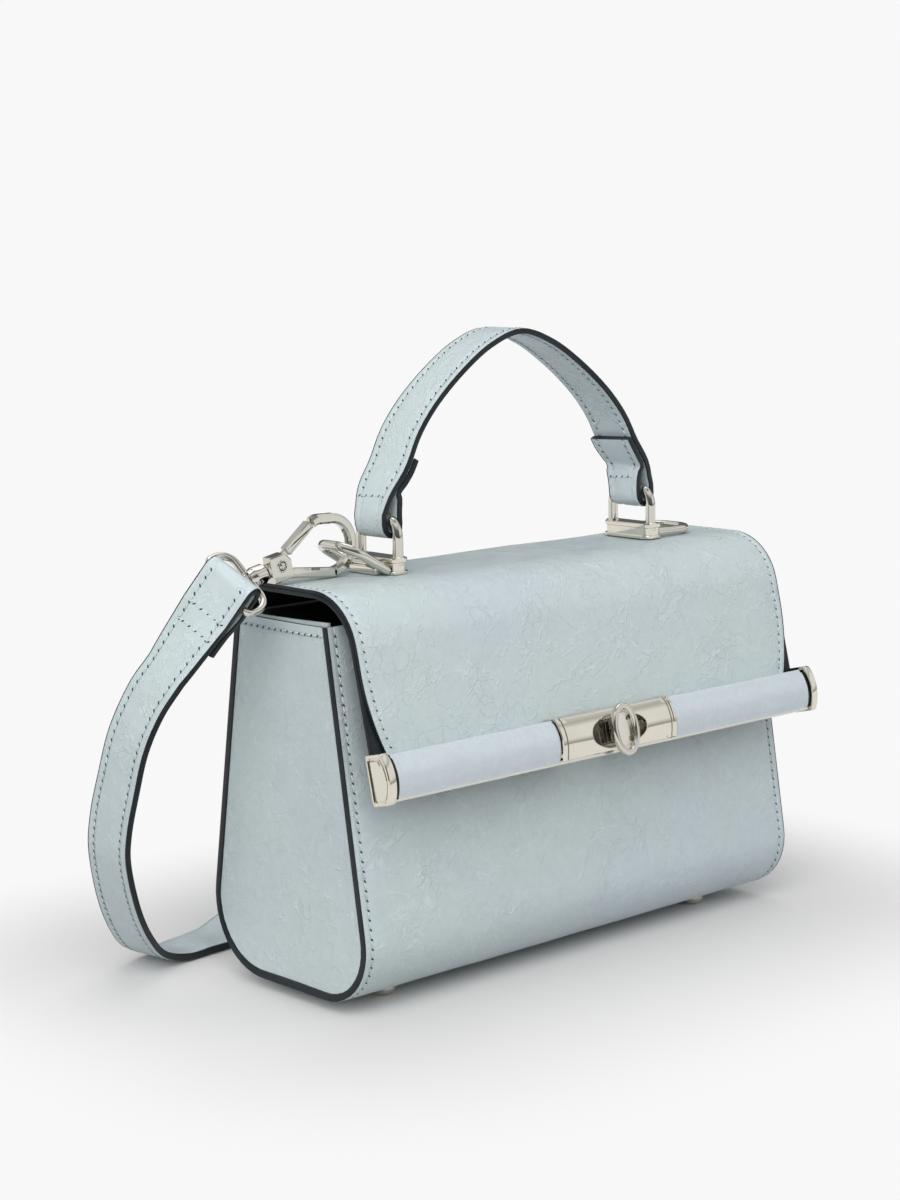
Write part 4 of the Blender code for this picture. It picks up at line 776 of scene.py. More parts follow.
def make_cap(side, word):
    """A cap with a raised rim round a plain face."""
    profile = mm(
        (0.6, 102.8), (0.1, 103), (0, 103.4), (0, 105.5), (0.1, 105.8), (0.4, 106), (1, 106),
        (1.3, 105.8), (1.35, 105.3), (1.7, 105.3), (1.75, 105.6), (1.9, 105.7),
    )
    rings = []
    for inset, x in profile:
        flat = bar_outline(inset, 16)
        ring = []
        for i, spot in enumerate(flat):
            before, after = flat[i - 1], flat[(i + 1) % len(flat)]
            if 2 <= i < len(flat) - 2:
                ring.append(spot)
                continue
            for other in (before, after):
                point = part_way(spot, other, 0.0006 / math.dist(spot, other))
                middle = tuple(p * 0.72 + q * 0.28 for p, q in zip(point, spot))
                ring += (point, middle) if other is before else (middle, point)
        rings.append([bar_place(u, v, side * x) for u, v in ring])
    merged(f"cap_{word}", [rings], [PLATE], "fall", (f"end_cap_{word}",))


PLATE_INSET = 0.0004
PLATE_LOW, PLATE_HIGH = 0.0019, BAR_HEIGHT - 0.0012
PLATE_MIDDLE = 0.0235  # half the length between the ribbed ends
WINDOW_POWER, WINDOW_DEPTH = 2.3, 0.0034


def plate_u(v):
    """How far out the plate's front is at a height."""
    radius = bar_front(PLATE_INSET)[1]
    rise = math.sqrt(max(0.0, radius * radius - (v - BAR_HEIGHT / 2) ** 2))
    return BAR_DEPTH - PLATE_INSET - radius + rise


def plate_border(angle):
    """A point of the middle part's edge, as (x, v)."""
    c, s = math.cos(angle), math.sin(angle)
    reach = 1 / max(abs(c), abs(s))
    return c * reach * PLATE_MIDDLE, (PLATE_HIGH + PLATE_LOW) / 2 + s * reach * (PLATE_HIGH - PLATE_LOW) / 2


def window(angle, grow=0.0):
    """A point of the oval window's edge, as (x, v)."""
    c, s = math.cos(angle), math.sin(angle)
    wide, tall = abs(c) / (0.01325 + grow), abs(s) / (0.0053 + grow)
    reach = (wide**WINDOW_POWER + tall**WINDOW_POWER) ** (-1 / WINDOW_POWER)
    return c * reach, BAR_HEIGHT / 2 + s * reach


def make_plate():
    """The bright plate: a middle part round the window, and two ribbed ends."""
    turns = angles(64)
    rings = []
    for share in (0.0, 0.05, 0.2, 0.4, 0.6, 0.8, 0.93):
        flat = [part_way(plate_border(angle), window(angle, 0.0005), share) for angle in turns]
        rings.append([bar_place(plate_u(v), v, x) for x, v in flat])
    for grow, down in ((0.0005, 0.0), (0.0003, 0.00002), (0.0001, 0.00012), (0.0, 0.0004), (0.0, 0.0012)):
        flat = [window(angle, grow) for angle in turns]
        rings.append([bar_place(plate_u(v) - down, v, x) for x, v in flat])
    # From here on the window's deep wall and floor take the darker copy of the metal: painted shade.
    bright = (len(rings) - 1) * len(turns)
    for size in (1.0, 0.7, 0.3):
        flat = [part_way((0.0, BAR_HEIGHT / 2), window(angle), size) for angle in turns]
        rings.append([bar_place(WINDOW_DEPTH, v, x) for x, v in flat])
    verts, faces, slots = loft(rings, caps=False)
    slots = [int(n >= bright) for n in range(len(faces))]

    def path(inset):
        return front_path(inset, PLATE_LOW, 0.0030, 0.0008)

    stops = [(PLATE_MIDDLE, 0.0004), (0.0254, 0.0004), (0.0255, 0.0004), (0.0256, 0.0007), (0.0259, 0.0007)]
    stops += [(0.0260, 0.0007), (0.0261, 0.0004), (0.0268, 0.0004), (0.0270, 0.00015), (0.0275, 0.00015)]
    stops += [(0.0280, 0.00015), (0.0282, 0.0006)]
    for side, word in SIDES:
        add_sheet(verts, faces, [[bar_place(u, v, side * x) for u, v in path(deep)] for x, deep in stops])
        # The grooves by the ribbed ends take the darker copy of the metal: painted shade.
        groove_shade = [int(2 <= row < 5) for row in range(len(stops) - 1)]
        slots += [shade for shade in groove_shade for k in path(PLATE_INSET)[1:]]
    top = [(u, v) for u, v in path(PLATE_INSET) if v > PLATE_HIGH - 0.0004]
    add_sheet(verts, faces, [[bar_place(u, v, x) for u, v in top] for x in (-PLATE_MIDDLE, PLATE_MIDDLE)])
    slots += [0] * (len(faces) - len(slots))
    piece("plate", verts, faces, [PLATE, RECESS_SHADE], "fall", ("lock_plate",), slots, 30)


# Handle and strap: the same lines as the solids
def ribbon_stations(places, sides, widths, thickness):
    """Stations on a ribbon's outer face from its middle line."""
    made = []
    for i, place in enumerate(places):
        ahead = heading_at(places, i)
        face = ahead.cross(sides[i].normalized()).normalized()
        side = face.cross(ahead).normalized()
        made.append((place + face * thickness / 2, side, face, widths[i]))
    return made


def edge_rows(name, stations, body, flip=0.0):
    """Two rows of stitches along a band. flip is its thickness where they lie underneath."""
    for side, word in ((-1, "near"), (1, "far")):
        depth = flip or 0.0001
        row = [p + s * side * (w / 2 - SEAM_INSET) - o * depth for p, s, o, w in stations]
        outs = [o * (-1 if flip else 1) for p, s, o, w in stations]
        stitches(f"{name}_{word}", row, outs, body)


def cross_row(name, station, body):
    """A row of stitches across a band."""
    place, side, out, width = station
    reach = width / 2 - 0.0018
    row = [place + side * reach * (i / 4 - 1) - out * 0.0001 for i in range(9)]
    stitches(name, row, [out] * 9, body)


STAPLE_Z, STAPLE_RADIUS = 0.15605, 0.00185
BRACKET_X, BRACKET_Y = 0.0622, -0.0010
HANDLE_THICKNESS, HANDLE_TOP = 0.0022, 0.2159
HANDLE_END_WIDTH, HANDLE_WIDENING, HANDLE_LEAN, HANDLE_TAB = 0.0142, 0.0053, 0.0035, 0.015
FOLD_Z = STAPLE_Z - 0.0028


def handle_route():
    """The handle's middle line, and how many of its points are in an end and in the outer layer."""
    drops = mm((0, 0), (14.6, 4.1), (28.4, 12.3), (41.3, 22.6), (50.1, 32.5), (56, 42.8))
    radius = STAPLE_RADIUS + 0.0006 + HANDLE_THICKNESS / 2
    right = [Vector((x, 0, HANDLE_TOP - drop)) for x, drop in drops]
    right.append(Vector((BRACKET_X + 0.0003, 0, STAPLE_Z + 0.0083)))
    right.append(Vector((BRACKET_X + radius, 0, STAPLE_Z + 0.0005)))
    controls = [Vector((-p.x, 0, p.z)) for p in right[:0:-1]] + right
    outer = spaced(smooth_points(controls, 16), 0.0032)
    fold = arc((BRACKET_X, FOLD_Z), radius, 0, -180, 8)
    fold += [(BRACKET_X - radius, STAPLE_Z + 0.0005), (BRACKET_X - 0.0034, STAPLE_Z + 0.0055)]
    half = [p for p in outer if p.x > 0]
    start = next(i for i, p in enumerate(half) if p.z < STAPLE_Z + 0.0110)
    tab, run = [], 0.0
    for i in range(start, 0, -1):
        along = (half[i - 1] - half[i + 1]).normalized()
        run += (half[i] - half[i - 1]).length
        inward = Vector((-abs(along.z), 0, -abs(along.x)))
        tab.append(half[i] + inward * (HANDLE_THICKNESS + 0.0003))
        if run > HANDLE_TAB:
            break
    end = spaced(smooth_points([Vector((x, 0, z)) for x, z in fold] + tab, 16), 0.0020)
    return [Vector((-p.x, 0, p.z)) for p in end[::-1]] + outer + end, len(end), len(outer)


def make_handle():
    route, end_count, outer_count = handle_route()
    bottom = FOLD_Z - 0.00355
    places, widths = [], []
    for place in route:
        share = (place.z - bottom) / (0.217 - bottom)
        places.append(Vector((place.x, BRACKET_Y + HANDLE_LEAN * share, place.z)))
        widths.append(HANDLE_END_WIDTH + HANDLE_WIDENING * eased((place.z - STAPLE_Z + 0.001) / 0.016))
    stations = ribbon_stations(places, [Y] * len(places), widths, HANDLE_THICKNESS)
    relief = seam_relief(depth=0.00022, drift=0.00018, seed=20.0)
    finish = [LEATHER, EDGE, LEATHER]
    band("handle_leather", stations, HANDLE_THICKNESS, finish, "handle", relief, ("handle",))
    first, last = end_count, end_count + outer_count
    edge_rows("handle_stitches", stations[first + 1 : last - 1], "handle")
    edge_rows("handle_tab_left", stations[:9], "handle")
    edge_rows("handle_tab_right", stations[-9:], "handle")
    edge_rows("handle_under", stations[first + 8 : last - 6], "handle", flip=HANDLE_THICKNESS)
    cross_row("handle_cross_left", stations[first + 2], "handle")
    cross_row("handle_cross_right", stations[-10], "handle")


# Shoulder strap
STRAP_WIDTH, STRAP_THICKNESS, EYE_WIRE = 0.0190, 0.0026, 0.0024
LOOP_RADIUS = EYE_WIRE / 2 + 0.0003 + STRAP_THICKNESS / 2
STRAP_TAB, TAB_CLOSING, TAB_APART = 0.025, 0.0080, STRAP_THICKNESS + 0.0006
# Bodies and places passed for the strap's pieces, which are only baked in place: the strap is attached to
# neither body
STRAP_HANGS = ("body", "flap", (0, 0, 0.045), (0, 0, 0.104))
# Places on the strap's way down, each with the direction of its width
STRAP_DROP = [
    ((-0.1423, 0.0123, 0.1122), (-0.02, 0.96, 0.28)),
    ((-0.1465, 0.0184, 0.1018), (-0.03, 0.96, 0.26)),
    ((-0.1496, 0.0244, 0.0882), (-0.04, 0.97, 0.24)),
    ((-0.1497, 0.0309, 0.0727), (-0.06, 0.97, 0.21)),
    ((-0.1488, 0.0374, 0.0579), (-0.08, 0.98, 0.17)),
    ((-0.1463, 0.0424, 0.0452), (-0.10, 0.98, 0.14)),
    ((-0.1380, 0.0504, 0.0268), (-0.14, 0.98, 0.10)),
    ((-0.1285, 0.0574, 0.0125), (-0.17, 0.98, 0.06)),
    ((-0.1180, 0.0634, 0.0025), (-0.19, 0.97, 0.02)),
]
ROLL_CENTRE = (-0.005, 0.104)
ROLL_OUTER, ROLL_INNER, ROLL_PITCH = 0.033, 0.009, 0.0086
EYE_BAR, EYE_WIDTH = -0.0218, 0.0260
CLIP_ORIGIN = Vector((-0.10425, 0.001, 0.1427))
CLIP_TILT = math.radians(11.5)
CLIP_X = Vector((math.cos(CLIP_TILT), 0, math.sin(CLIP_TILT)))
CLIP_Z = Vector((-math.sin(CLIP_TILT), 0, math.cos(CLIP_TILT)))
EYE_ROLL = math.radians(45)


def strap_on_floor():
    """From where it lands to its roll, turning up on its edge."""
    made = []
    start, end = Vector((-0.1050, 0.0672)), Vector((ROLL_CENTRE[0], ROLL_CENTRE[1] - ROLL_OUTER))
    for i in range(9):
        share = i / 9
        turn = math.radians(90) * eased((share - 0.15) / 0.7)
        flat = Vector((-0.17 * (1 - share), 0.98, 0)).normalized()
        side = flat * math.cos(turn) + Z * math.sin(turn)
        height = (STRAP_WIDTH * math.sin(turn) + STRAP_THICKNESS * math.cos(turn)) / 2
        place = start.lerp(end, share)
        bow = 0.0020 * math.sin(math.pi * share)
        made.append((Vector((place.x, place.y + bow, FLOOR_Z + height + 0.0006)), side))
    return made


def strap_roll():
    """A roll of two arms that meet in its middle, on its edge."""
    turns = (ROLL_OUTER - ROLL_INNER) / ROLL_PITCH
    arm, turned_by = [], 0.0
    while turned_by < turns:
        radius = ROLL_OUTER - ROLL_PITCH * turned_by
        angle = math.tau * turned_by - math.pi / 2
        arm.append((radius * math.cos(angle), radius * math.sin(angle)))
        turned_by += 0.0036 / (math.tau * radius)
    last = math.tau * turns - math.pi / 2
    half = ROLL_INNER / 2
    centre = (half * math.cos(last), half * math.sin(last))
    arm += arc(centre, half, math.degrees(last), math.degrees(last) + 180, 6)[:-1]
    flat = arm + [(0.0, 0.0)] + [(-a, -b) for a, b in arm[::-1]]
    z = FLOOR_Z + STRAP_WIDTH / 2 + 0.0003
    return [(Vector((ROLL_CENTRE[0] + a, ROLL_CENTRE[1] + b, z)), Z) for a, b in flat]


def strap_loop(bar, outward, forward, width_line, main, hang=0.0):
    """The fold round an eye's bar and the tab that is stitched back along main."""
    reach = EYE_WIRE * 1.5 + hang
    tab, run = [], 0.0
    for (place, side), (after, _) in zip(main, main[1:]):
        if run > STRAP_TAB:
            break
        normal = (after - place).cross(side).normalized()
        if normal.dot(outward) < 0:
            normal = -normal
        if run > reach - 0.0001:
            closing = min((run - reach) / TAB_CLOSING, 1.0)
            apart = LOOP_RADIUS * 2 + (TAB_APART - LOOP_RADIUS * 2) * closing
            tab.append((place - normal * apart, side))
        run += (after - place).length
    fold = []
    for i in range(13):
        angle = math.pi * (1 - i / 12)
        away = outward * math.cos(angle) + forward * math.sin(angle)
        fold.append((bar + away * LOOP_RADIUS, width_line))
    return tab[::-1] + fold


def between(stations, count):
    """More stations, on the smooth curve through the given ones."""
    places = [place for place, side in stations]
    sides = [side.normalized() for place, side in stations]
    made = []
    for i, four in enumerate(fours(places[:1] + places + places[-1:])):
        for k in range(count):
            made.append((curve_point(*four, k / count), sides[i].lerp(sides[i + 1], k / count)))
    return made + [stations[-1]]


def make_strap():
    eye_bar = CLIP_ORIGIN + CLIP_X * EYE_BAR
    drop = [(Vector(place), Vector(side)) for place, side in STRAP_DROP]
    eye_line = Y * math.cos(EYE_ROLL) + CLIP_Z * math.sin(EYE_ROLL)
    outward = eye_line.cross(drop[0][0] - eye_bar).normalized()
    down = (drop[0][0] - outward * LOOP_RADIUS - eye_bar).normalized()
    outward = eye_line.cross(down).normalized()
    width_line = down.cross(outward)
    hang = -STRAP_WIDTH * eye_line.dot(down) / eye_line.dot(width_line)
    bar = eye_bar - down * hang / 2 - width_line * 0.00015
    leave = bar + outward * LOOP_RADIUS
    reach = EYE_WIRE * 1.5 + hang
    head = [(leave + down * reach * share, width_line) for share in (0, 0.75, 1.5)]
    coil = strap_roll()
    turn, droop = math.radians(-32), math.radians(4)
    level = Vector((math.cos(turn), math.sin(turn), 0))
    heading = level * math.cos(droop) - Z * math.sin(droop)
    sideways = Z.cross(heading).normalized()
    upright = heading.cross(sideways)
    free_bar = Vector((0.05, 0.124, FLOOR_Z + 0.0130 + 0.0010))
    arrive = free_bar + sideways * LOOP_RADIUS
    tail = [
        (Vector((ROLL_CENTRE[0] + 0.0170, ROLL_CENTRE[1] + ROLL_OUTER + 0.0008, coil[0][0].z)), Z),
        (arrive - heading * 0.0180 + sideways * 0.0010 - Z * 0.0012, Z),
        (arrive - heading * 0.0060, upright),
        (arrive, upright),
    ]
    first = between(head + drop + strap_on_floor() + coil[:1], 6)
    last = between(coil[-2:] + tail, 5)[5:]
    main = first[:-1] + coil + last[1:]
    start = strap_loop(bar, outward, -down, width_line, main, hang)
    end = strap_loop(free_bar, sideways, heading, upright, main[::-1])
    route = start[:-1] + main + end[:-1][::-1]
    places, sides = [p for p, s in route], [s for p, s in route]
    stations = ribbon_stations(places, sides, [STRAP_WIDTH] * len(route), STRAP_THICKNESS)
    if stations[len(start) + 4][2].dot(outward) < 0:
        stations = [(p - o * STRAP_THICKNESS, -s, -o, w) for p, s, o, w in stations]
    relief = seam_relief(depth=0.00022, drift=0.00014, seed=33.0)
    finish = [LEATHER, EDGE, LEATHER]
    band("strap_leather", stations, STRAP_THICKNESS, finish, STRAP_HANGS, relief, ("shoulder_strap",))
    edge_rows("strap_stitches", stations[len(start) - 4 : len(stations) - len(end) - 2], STRAP_HANGS)
    cross_row("strap_cross_upper", stations[len(start) + 11], STRAP_HANGS)
    cross_row("strap_cross_lower", stations[len(start) + 13], STRAP_HANGS)


# Fittings
def closed_fillet(corners, radii, steps):
    """A closed outline with its corners rounded."""
    made, count = [], len(corners)
    for i, radius in enumerate(radii):
        made += filleted([corners[i - 1], corners[i], corners[(i + 1) % count]], [radius], steps)[1:-1]
    return made


def shrunk(outline, distance):
    """A closed outline moved inward."""
    area = sum(a[0] * b[1] - b[0] * a[1] for a, b in zip(outline, outline[1:] + outline[:1]))
    sign = 1 if area > 0 else -1
    made = []
    for i, corner in enumerate(outline):
        corner = Vector(corner)
        into = (corner - Vector(outline[i - 1])).normalized()
        out = (Vector(outline[(i + 1) % len(outline)]) - corner).normalized()
        first, second = Vector((-into.y, into.x)) * sign, Vector((-out.y, out.x)) * sign
        middle = (first + second).normalized()
        made.append(tuple(corner + middle * distance / max(0.3, middle.dot(first))))
    return made


def stepped(outline, profile, place):
    """Rings of an outline, each moved inward and set at a height. place turns (a, b, height) to a point."""
    return [[place(a, b, height) for a, b in shrunk(outline, d)] for d, height in profile]


def block(x0, y0, x1, y1, profile, place, corners=None):
    """A stepped rectangle, with rounded corners if asked."""
    outline = [(x0, y0), (x1, y0), (x1, y1), (x0, y1)]
    if corners:
        outline = closed_fillet(outline, corners, 3)
    return stepped(outline, profile, place)


def bevelled(half, bevel, recess=None):
    """A profile for stepped: a plate with bevelled edges and, if asked, a sunk panel on both faces."""
    side = [(bevel, half), (0.0, half - bevel)]
    if recess:
        wide, deep = recess
        side = [(wide + 0.00015, half - deep), (wide, half)] + side
    return [(d, -h) for d, h in side] + side[::-1]


def turned(profile, place):
    """Rings of a lathe: profile is (radius, height), and place turns (a, b, height) to a point."""
    return [[place(a, b, height) for a, b in circle(radius, 28)] for radius, height in profile]


def merged(name, parts, materials, body, replaced=()):
    """One metal piece from several lofts, each its rings or (rings, material index, closed)."""
    verts, faces, slots = [], [], []
    for part in parts:
        rings, index, closed = part if isinstance(part, tuple) else (part, 0, False)
        v, f = loft(rings, closed)[:2]
        faces += [tuple(i + len(verts) for i in face) for face in f]
        verts += v
        slots += [index] * len(f)
    piece(name, verts, faces, materials, body, replaced, slots, 30)


def chamfered(width, height, cut):
    """A closed section: a rectangle with its corners cut."""
    w, h = width / 2, height / 2
    half = [(w, h - cut), (w - cut, h), (-w + cut, h), (-w, h - cut)]
    return half + [(-a, -b) for a, b in half]


BASE_TOP, STAPLE_LEG = 0.1427, 0.0095
RING_PIN_X, RING_Z, RING_LENGTH, RING_WIDTH = 0.0673, 0.1390, 0.0196, 0.0216


def make_bracket(side, word):
    def place(a, b, h):
        return Vector((side * (BRACKET_X + a), BRACKET_Y + b, h))

    def place_lug(a, b, h):
        return place(a, h, b)

    half_w, half_l = 0.0041, 0.0117
    outline = [(half_w, -half_l), (half_w, half_l), (-half_w, half_l), (-half_w, -half_l)]
    outline = closed_fillet(outline, [0.0016, 0.0016, 0.0032, 0.0032], 7)
    profile = mm((0.3, 137.05), (0, 137.25), (0, 138.1), (0.2, 138.3), (0.7, 138.35))
    profile += mm((0.7, 141), (0.3, 141.1), (0.1, 141.3), (0.1, 142.3)) + [(0.0004, BASE_TOP)]
    lug = mm((0, 137.1), (7.8, 137.1), (7.8, 141.7), (0, 141.7))
    lug = closed_fillet(lug, [0.0002, 0.0006, 0.0022, 0.0002], 6)
    parts = [stepped(outline, profile, place), stepped(lug, bevelled(0.0069, 0.0004), place_lug)]
    collar = mm((2.4, -0.4), (2.4, 0.1), (2.2, 0.3), (1.9, 0.3))
    for end in (-STAPLE_LEG, STAPLE_LEG):
        seat = Vector((side * BRACKET_X, BRACKET_Y + end, BASE_TOP))
        parts.append(turned(collar, lambda a, b, h, s=seat: s + Vector((a, b, h))))
    merged(f"bracket_{word}", parts, [PLATE], "flap", (f"bracket_base_{word}",))

    low, corner = BASE_TOP - 0.0028, 0.0070
    right = arc((STAPLE_LEG - corner, STAPLE_Z - corner), corner, 90, 0, 12)
    right += [(STAPLE_LEG, low + 0.004), (STAPLE_LEG, low)]
    arch = [(-y, z) for y, z in right[::-1]] + right
    points = [Vector((side * BRACKET_X, BRACKET_Y + y, z)) for y, z in arch]
    wire = sweep(points, circle(STAPLE_RADIUS), up=X)
    merged(f"staple_wire_{word}", [wire], [WIRE], "flap", (f"staple_{word}",))

    lift = math.radians(30 if side < 0 else 0)
    out = Vector((side * math.cos(lift), 0, math.sin(lift)))
    length, half, bend = RING_LENGTH - 0.0016, RING_WIDTH / 2 - 0.0016, 0.0068
    loop = [(0, -half), (0.004, -half)] + arc((length - bend, -half + bend), bend, -90, 0, 14)
    loop += arc((length - bend, half - bend), bend, 0, 90, 14)
    loop += [(0.004, half), (0, half), (0, half / 2), (0, -half / 2)]
    pin = Vector((side * RING_PIN_X, BRACKET_Y, RING_Z))
    points = [pin + out * a + Y * b for a, b in loop]
    wire = sweep(points, soft_square(0.0031, 0.0032, 2.6), True, out.cross(Y))
    merged(f"ring_wire_{word}", [(wire, 0, True)], [WIRE], f"ring_{word}", (f"ring_{word}",))


# A gate's hinge above the clip's middle line, its free end's height and how far along that is
GATE_HINGE, GATE_END, GATE_REACH = 0.0018, 0.0092, 0.0142


def make_clip(word, origin, along, across, up, roll, hook_body, gate_body, eye_body):
    """A swivel clip. Its own x runs from the eye to the hook's nose."""
    def place(x, y, z):
        return origin + along * x + across * y + up * z

    def place_flat(a, b, h):
        return place(a, h, b)

    def lathe(a, b, h):
        return place(h, a, b)

    body = mm((-4.3, -4.5), (4.3, -4.5), (4.3, 1.6), (2, 4.5), (-4.3, 4.5))
    body = closed_fillet(body, [0.0005, 0.0005, 0.0004, 0.0004, 0.0005], 3)
    line = mm((3, -2.9), (4.4, -3.4), (7, -4.15))
    line += arc((0.0225, 0.0007), 0.0091, -101.5, 84, 30)
    line += mm((20.3, 10.5), (18.3, 10.8), (16.4, 10.4))
    line = smooth_points([place_flat(a, b, 0) for a, b in line], 3)
    neck = mm(
        (1.6, -4), (2.1, -4.4), (2.1, -5), (2.7, -5.2), (2.7, -5.8), (2.1, -6), (2.1, -6.6), (1.4, -6.7),
        (1.4, -14),
    )
    head = mm((1.2, -13.9), (2.3, -14.05), (2.5, -14.6), (2.2, -15.3), (1.2, -15.7), (0.2, -15.8))
    parts = [stepped(body, bevelled(0.0023, 0.0004), place_flat)]
    parts.append(sweep(line, chamfered(0.0037, 0.0034, 0.0008), up=across))
    parts += [turned(neck, lathe), turned(head, lathe)]
    merged(f"hook_metal_{word}", parts, [WIRE], hook_body, (f"hook_{word}",))

    dome = mm(
        (2.1, 2), (2.1, 2.4), (1.9, 2.6), (1.7, 2.6), (1.5, 2.3), (1.3, 2.3), (1.25, 2.5), (0.9, 2.75),
        (0.4, 2.9), (0.1, 2.9),
    )
    pins = [turned(dome, lambda a, b, h, s=s: place(a, s * h, 0.0006 + b)) for s in (-1, 1)]
    merged(f"rivet_{word}", pins, [WIRE], hook_body, (f"gate_pin_{word}",))

    lean = math.atan2(GATE_END - GATE_HINGE, GATE_REACH)
    cos, sin = math.cos(lean), math.sin(lean)

    def on_gate(s, w, h):
        return place(s * cos - w * sin, h, GATE_HINGE + s * sin + w * cos)

    panel = bevelled(0.00175, 0.0003, (0.0007, 0.0003))
    bar = block(0.0046, -0.0012, 0.0177, 0.0018, panel, on_gate, [0.0003, 0.0004, 0.0004, 0.0003])
    stub = mm((-2, -1.8), (6, -1), (6, 1.3), (-2, 1.6))
    knuckle = mm((1.2, 5), (1.4, 5.1), (1.4, 5.6), (1.2, 5.7))
    gate = [bar, stepped(stub, bevelled(0.00075, 0.0002), on_gate)]
    gate.append(turned(knuckle, lambda a, b, h: on_gate(h, 0.0002 + a, b)))
    merged(f"gate_metal_{word}", gate, [WIRE], gate_body, (f"gate_{word}",))

    collar = mm(
        (1.6, -6.6), (3.1, -6.7), (3.4, -7), (3.4, -10.8), (3.2, -11.3), (2.9, -11.9), (2.6, -13.2),
        (1.5, -13.2), (1.5, -12),
    )
    cos, sin = math.cos(roll), math.sin(roll)
    wide, tight, near, far, side = 0.0050, 0.0023, -0.0128, EYE_BAR, (EYE_WIDTH - EYE_WIRE) / 2
    corners = [(near - wide, -side + wide, wide, -90), (near - wide, side - wide, wide, 0)]
    corners += [(far + tight, side - tight, tight, 90), (far + tight, -side + tight, tight, 180)]
    loop = []
    for x, y, radius, first in corners:
        loop += arc((x, y), radius, first, first + 90, 9)
    points = [place(x, y * cos, y * sin) for x, y in loop]
    wire = sweep(points, soft_square(0.0025, 0.0023, 3.0, 20), True, across * -sin + up * cos)
    eye = [turned(collar, lathe), (wire, 0, True)]
    merged(f"eye_metal_{word}", eye, [WIRE], eye_body, (f"swivel_eye_{word}",))


def lock_place(x, y, u):
    """A point on the lock, from its centre: along the bar, up it and out from its back."""
    return bar_place(u, BAR_HEIGHT / 2 + y, x)


KNOB_WIDTH, KNOB_HEIGHT, KNOB_WIRE, KNOB_STANDOFF = 0.0120, 0.0180, 0.0026, 0.0006


def make_lock():
    wide, tall = KNOB_WIDTH / 2 - 0.0009, KNOB_HEIGHT / 2 - 0.0009
    top = BAR_DEPTH + KNOB_STANDOFF + KNOB_WIRE / 2
    loop = [lock_place(wide * math.cos(angle), tall * math.sin(angle), top) for angle in angles(48)]
    ring = sweep(loop, soft_square(KNOB_WIRE, 0.0024, 2.3, 24), True, OUTWARD)
    pad = mm(
        (-3.8, -5.6), (3, -6), (3, -4.3), (1.9, -4.3), (1.9, -3), (4, -3), (4, 3), (1.9, 3), (1.9, 4.3),
        (3, 4.3), (3, 6), (-3.8, 5.6),
    )
    flat = top - 0.0007
    face = stepped(pad, [(0.0, flat - 0.0009), (0.0, flat - 0.0001), (0.0001, flat)], lock_place)
    profile = [(0.0, flat - 0.0010), (0.0, flat - 0.0002), (0.0001, flat - 0.0001)]
    arms = block(-0.0050, -0.0009, 0.0050, 0.0009, profile, lock_place)
    shaft = turned([(0.0016, 0.0030), (0.0016, flat - 0.0005)], lock_place)
    # The pad's face and arms take the lighter copy of the metal: painted highlight.
    parts = [(ring, 0, True), (face, 1, False), (arms, 1, False), shaft]
    merged("knob", parts, [WIRE, LIP_HIGHLIGHT], "knob", ("lock_knob",))

    profile = mm((0, 3.4), (0, 6.2), (0.2, 6.4))
    base = block(-0.0070, -0.00425, 0.0070, 0.00425, profile, lock_place, [0.0005] * 4)
    # The block's base takes the darker copy of the metal: painted shade.
    parts = [(base, 1, False)]
    profile = mm((0, 6), (0, 7.6), (0.1, 7.8))
    for x in (-0.0066, -0.0047, -0.0029, 0.0029, 0.0047, 0.0066):
        parts.append(block(x - 0.00028, -0.0034, x + 0.00028, 0.0034, profile, lock_place))
    profile = mm((0, 6), (0, 7.2), (0.1, 7.3))
    for y in (-0.0039, 0.0039):
        parts.append(block(-0.0069, y - 0.0002, 0.0069, y + 0.0002, profile, lock_place))
    merged("lock_block", parts, [WIRE, RECESS_SHADE], "fall", ("lock_body",))


# Camera, light and floor
BACKDROP = (0.94, 0.94, 0.94, 1.0)
PICTURE_HEIGHT, FOCAL_PIXELS, SENSOR = 1200, 2422.6, 36.0
CAMERA_PLACE = Vector((-0.59341, -0.6167, 0.2535))
YAW, PITCH, ROLL = 0.74096, 0.15447, -0.01355
SHADOW_CENTRE, SHADOW_REACH = (0.0, 0.015, 0.0), (0.10, 0.055, 0.0)
# Heights of the room from straight down at 0 to straight up at 1, and how bright it is there
ROOM_LEVELS = [(0.0, 0.75), (0.495, 0.72), (0.505, 0.32), (0.53, 0.56), (0.58, 0.95), (0.75, 0.95)]
ROOM_LEVELS += [(0.80, 0.55), (0.86, 0.95), (0.92, 0.92), (0.94, 0.30), (0.964, 0.34), (0.99, 0.85)]
ROOM_LEVELS.append((1.0, 0.9))
LIGHT_TARGET = Vector((0, 0, 0.06))
LAMPS = [
    ("key_light", (-0.95, -0.80, 1.0), 1.3, 20.2, (1.0, 0.985, 0.965)),
    ("top_light", (0.15, 0.25, 1.7), 1.2, 5.0, (1.0, 1.0, 1.0)),
    ("side_light", (-1.9, -0.1, 0.9), 1.0, 4.0, (1.0, 1.0, 1.0)),
    ("fill_light", (1.3, -1.2, 0.75), 1.0, 4.0, (0.96, 0.98, 1.0)),
]


def linked(name, data):
    obj = bpy.data.objects.new(name, data)
    bpy.context.scene.collection.objects.link(obj)
    return obj


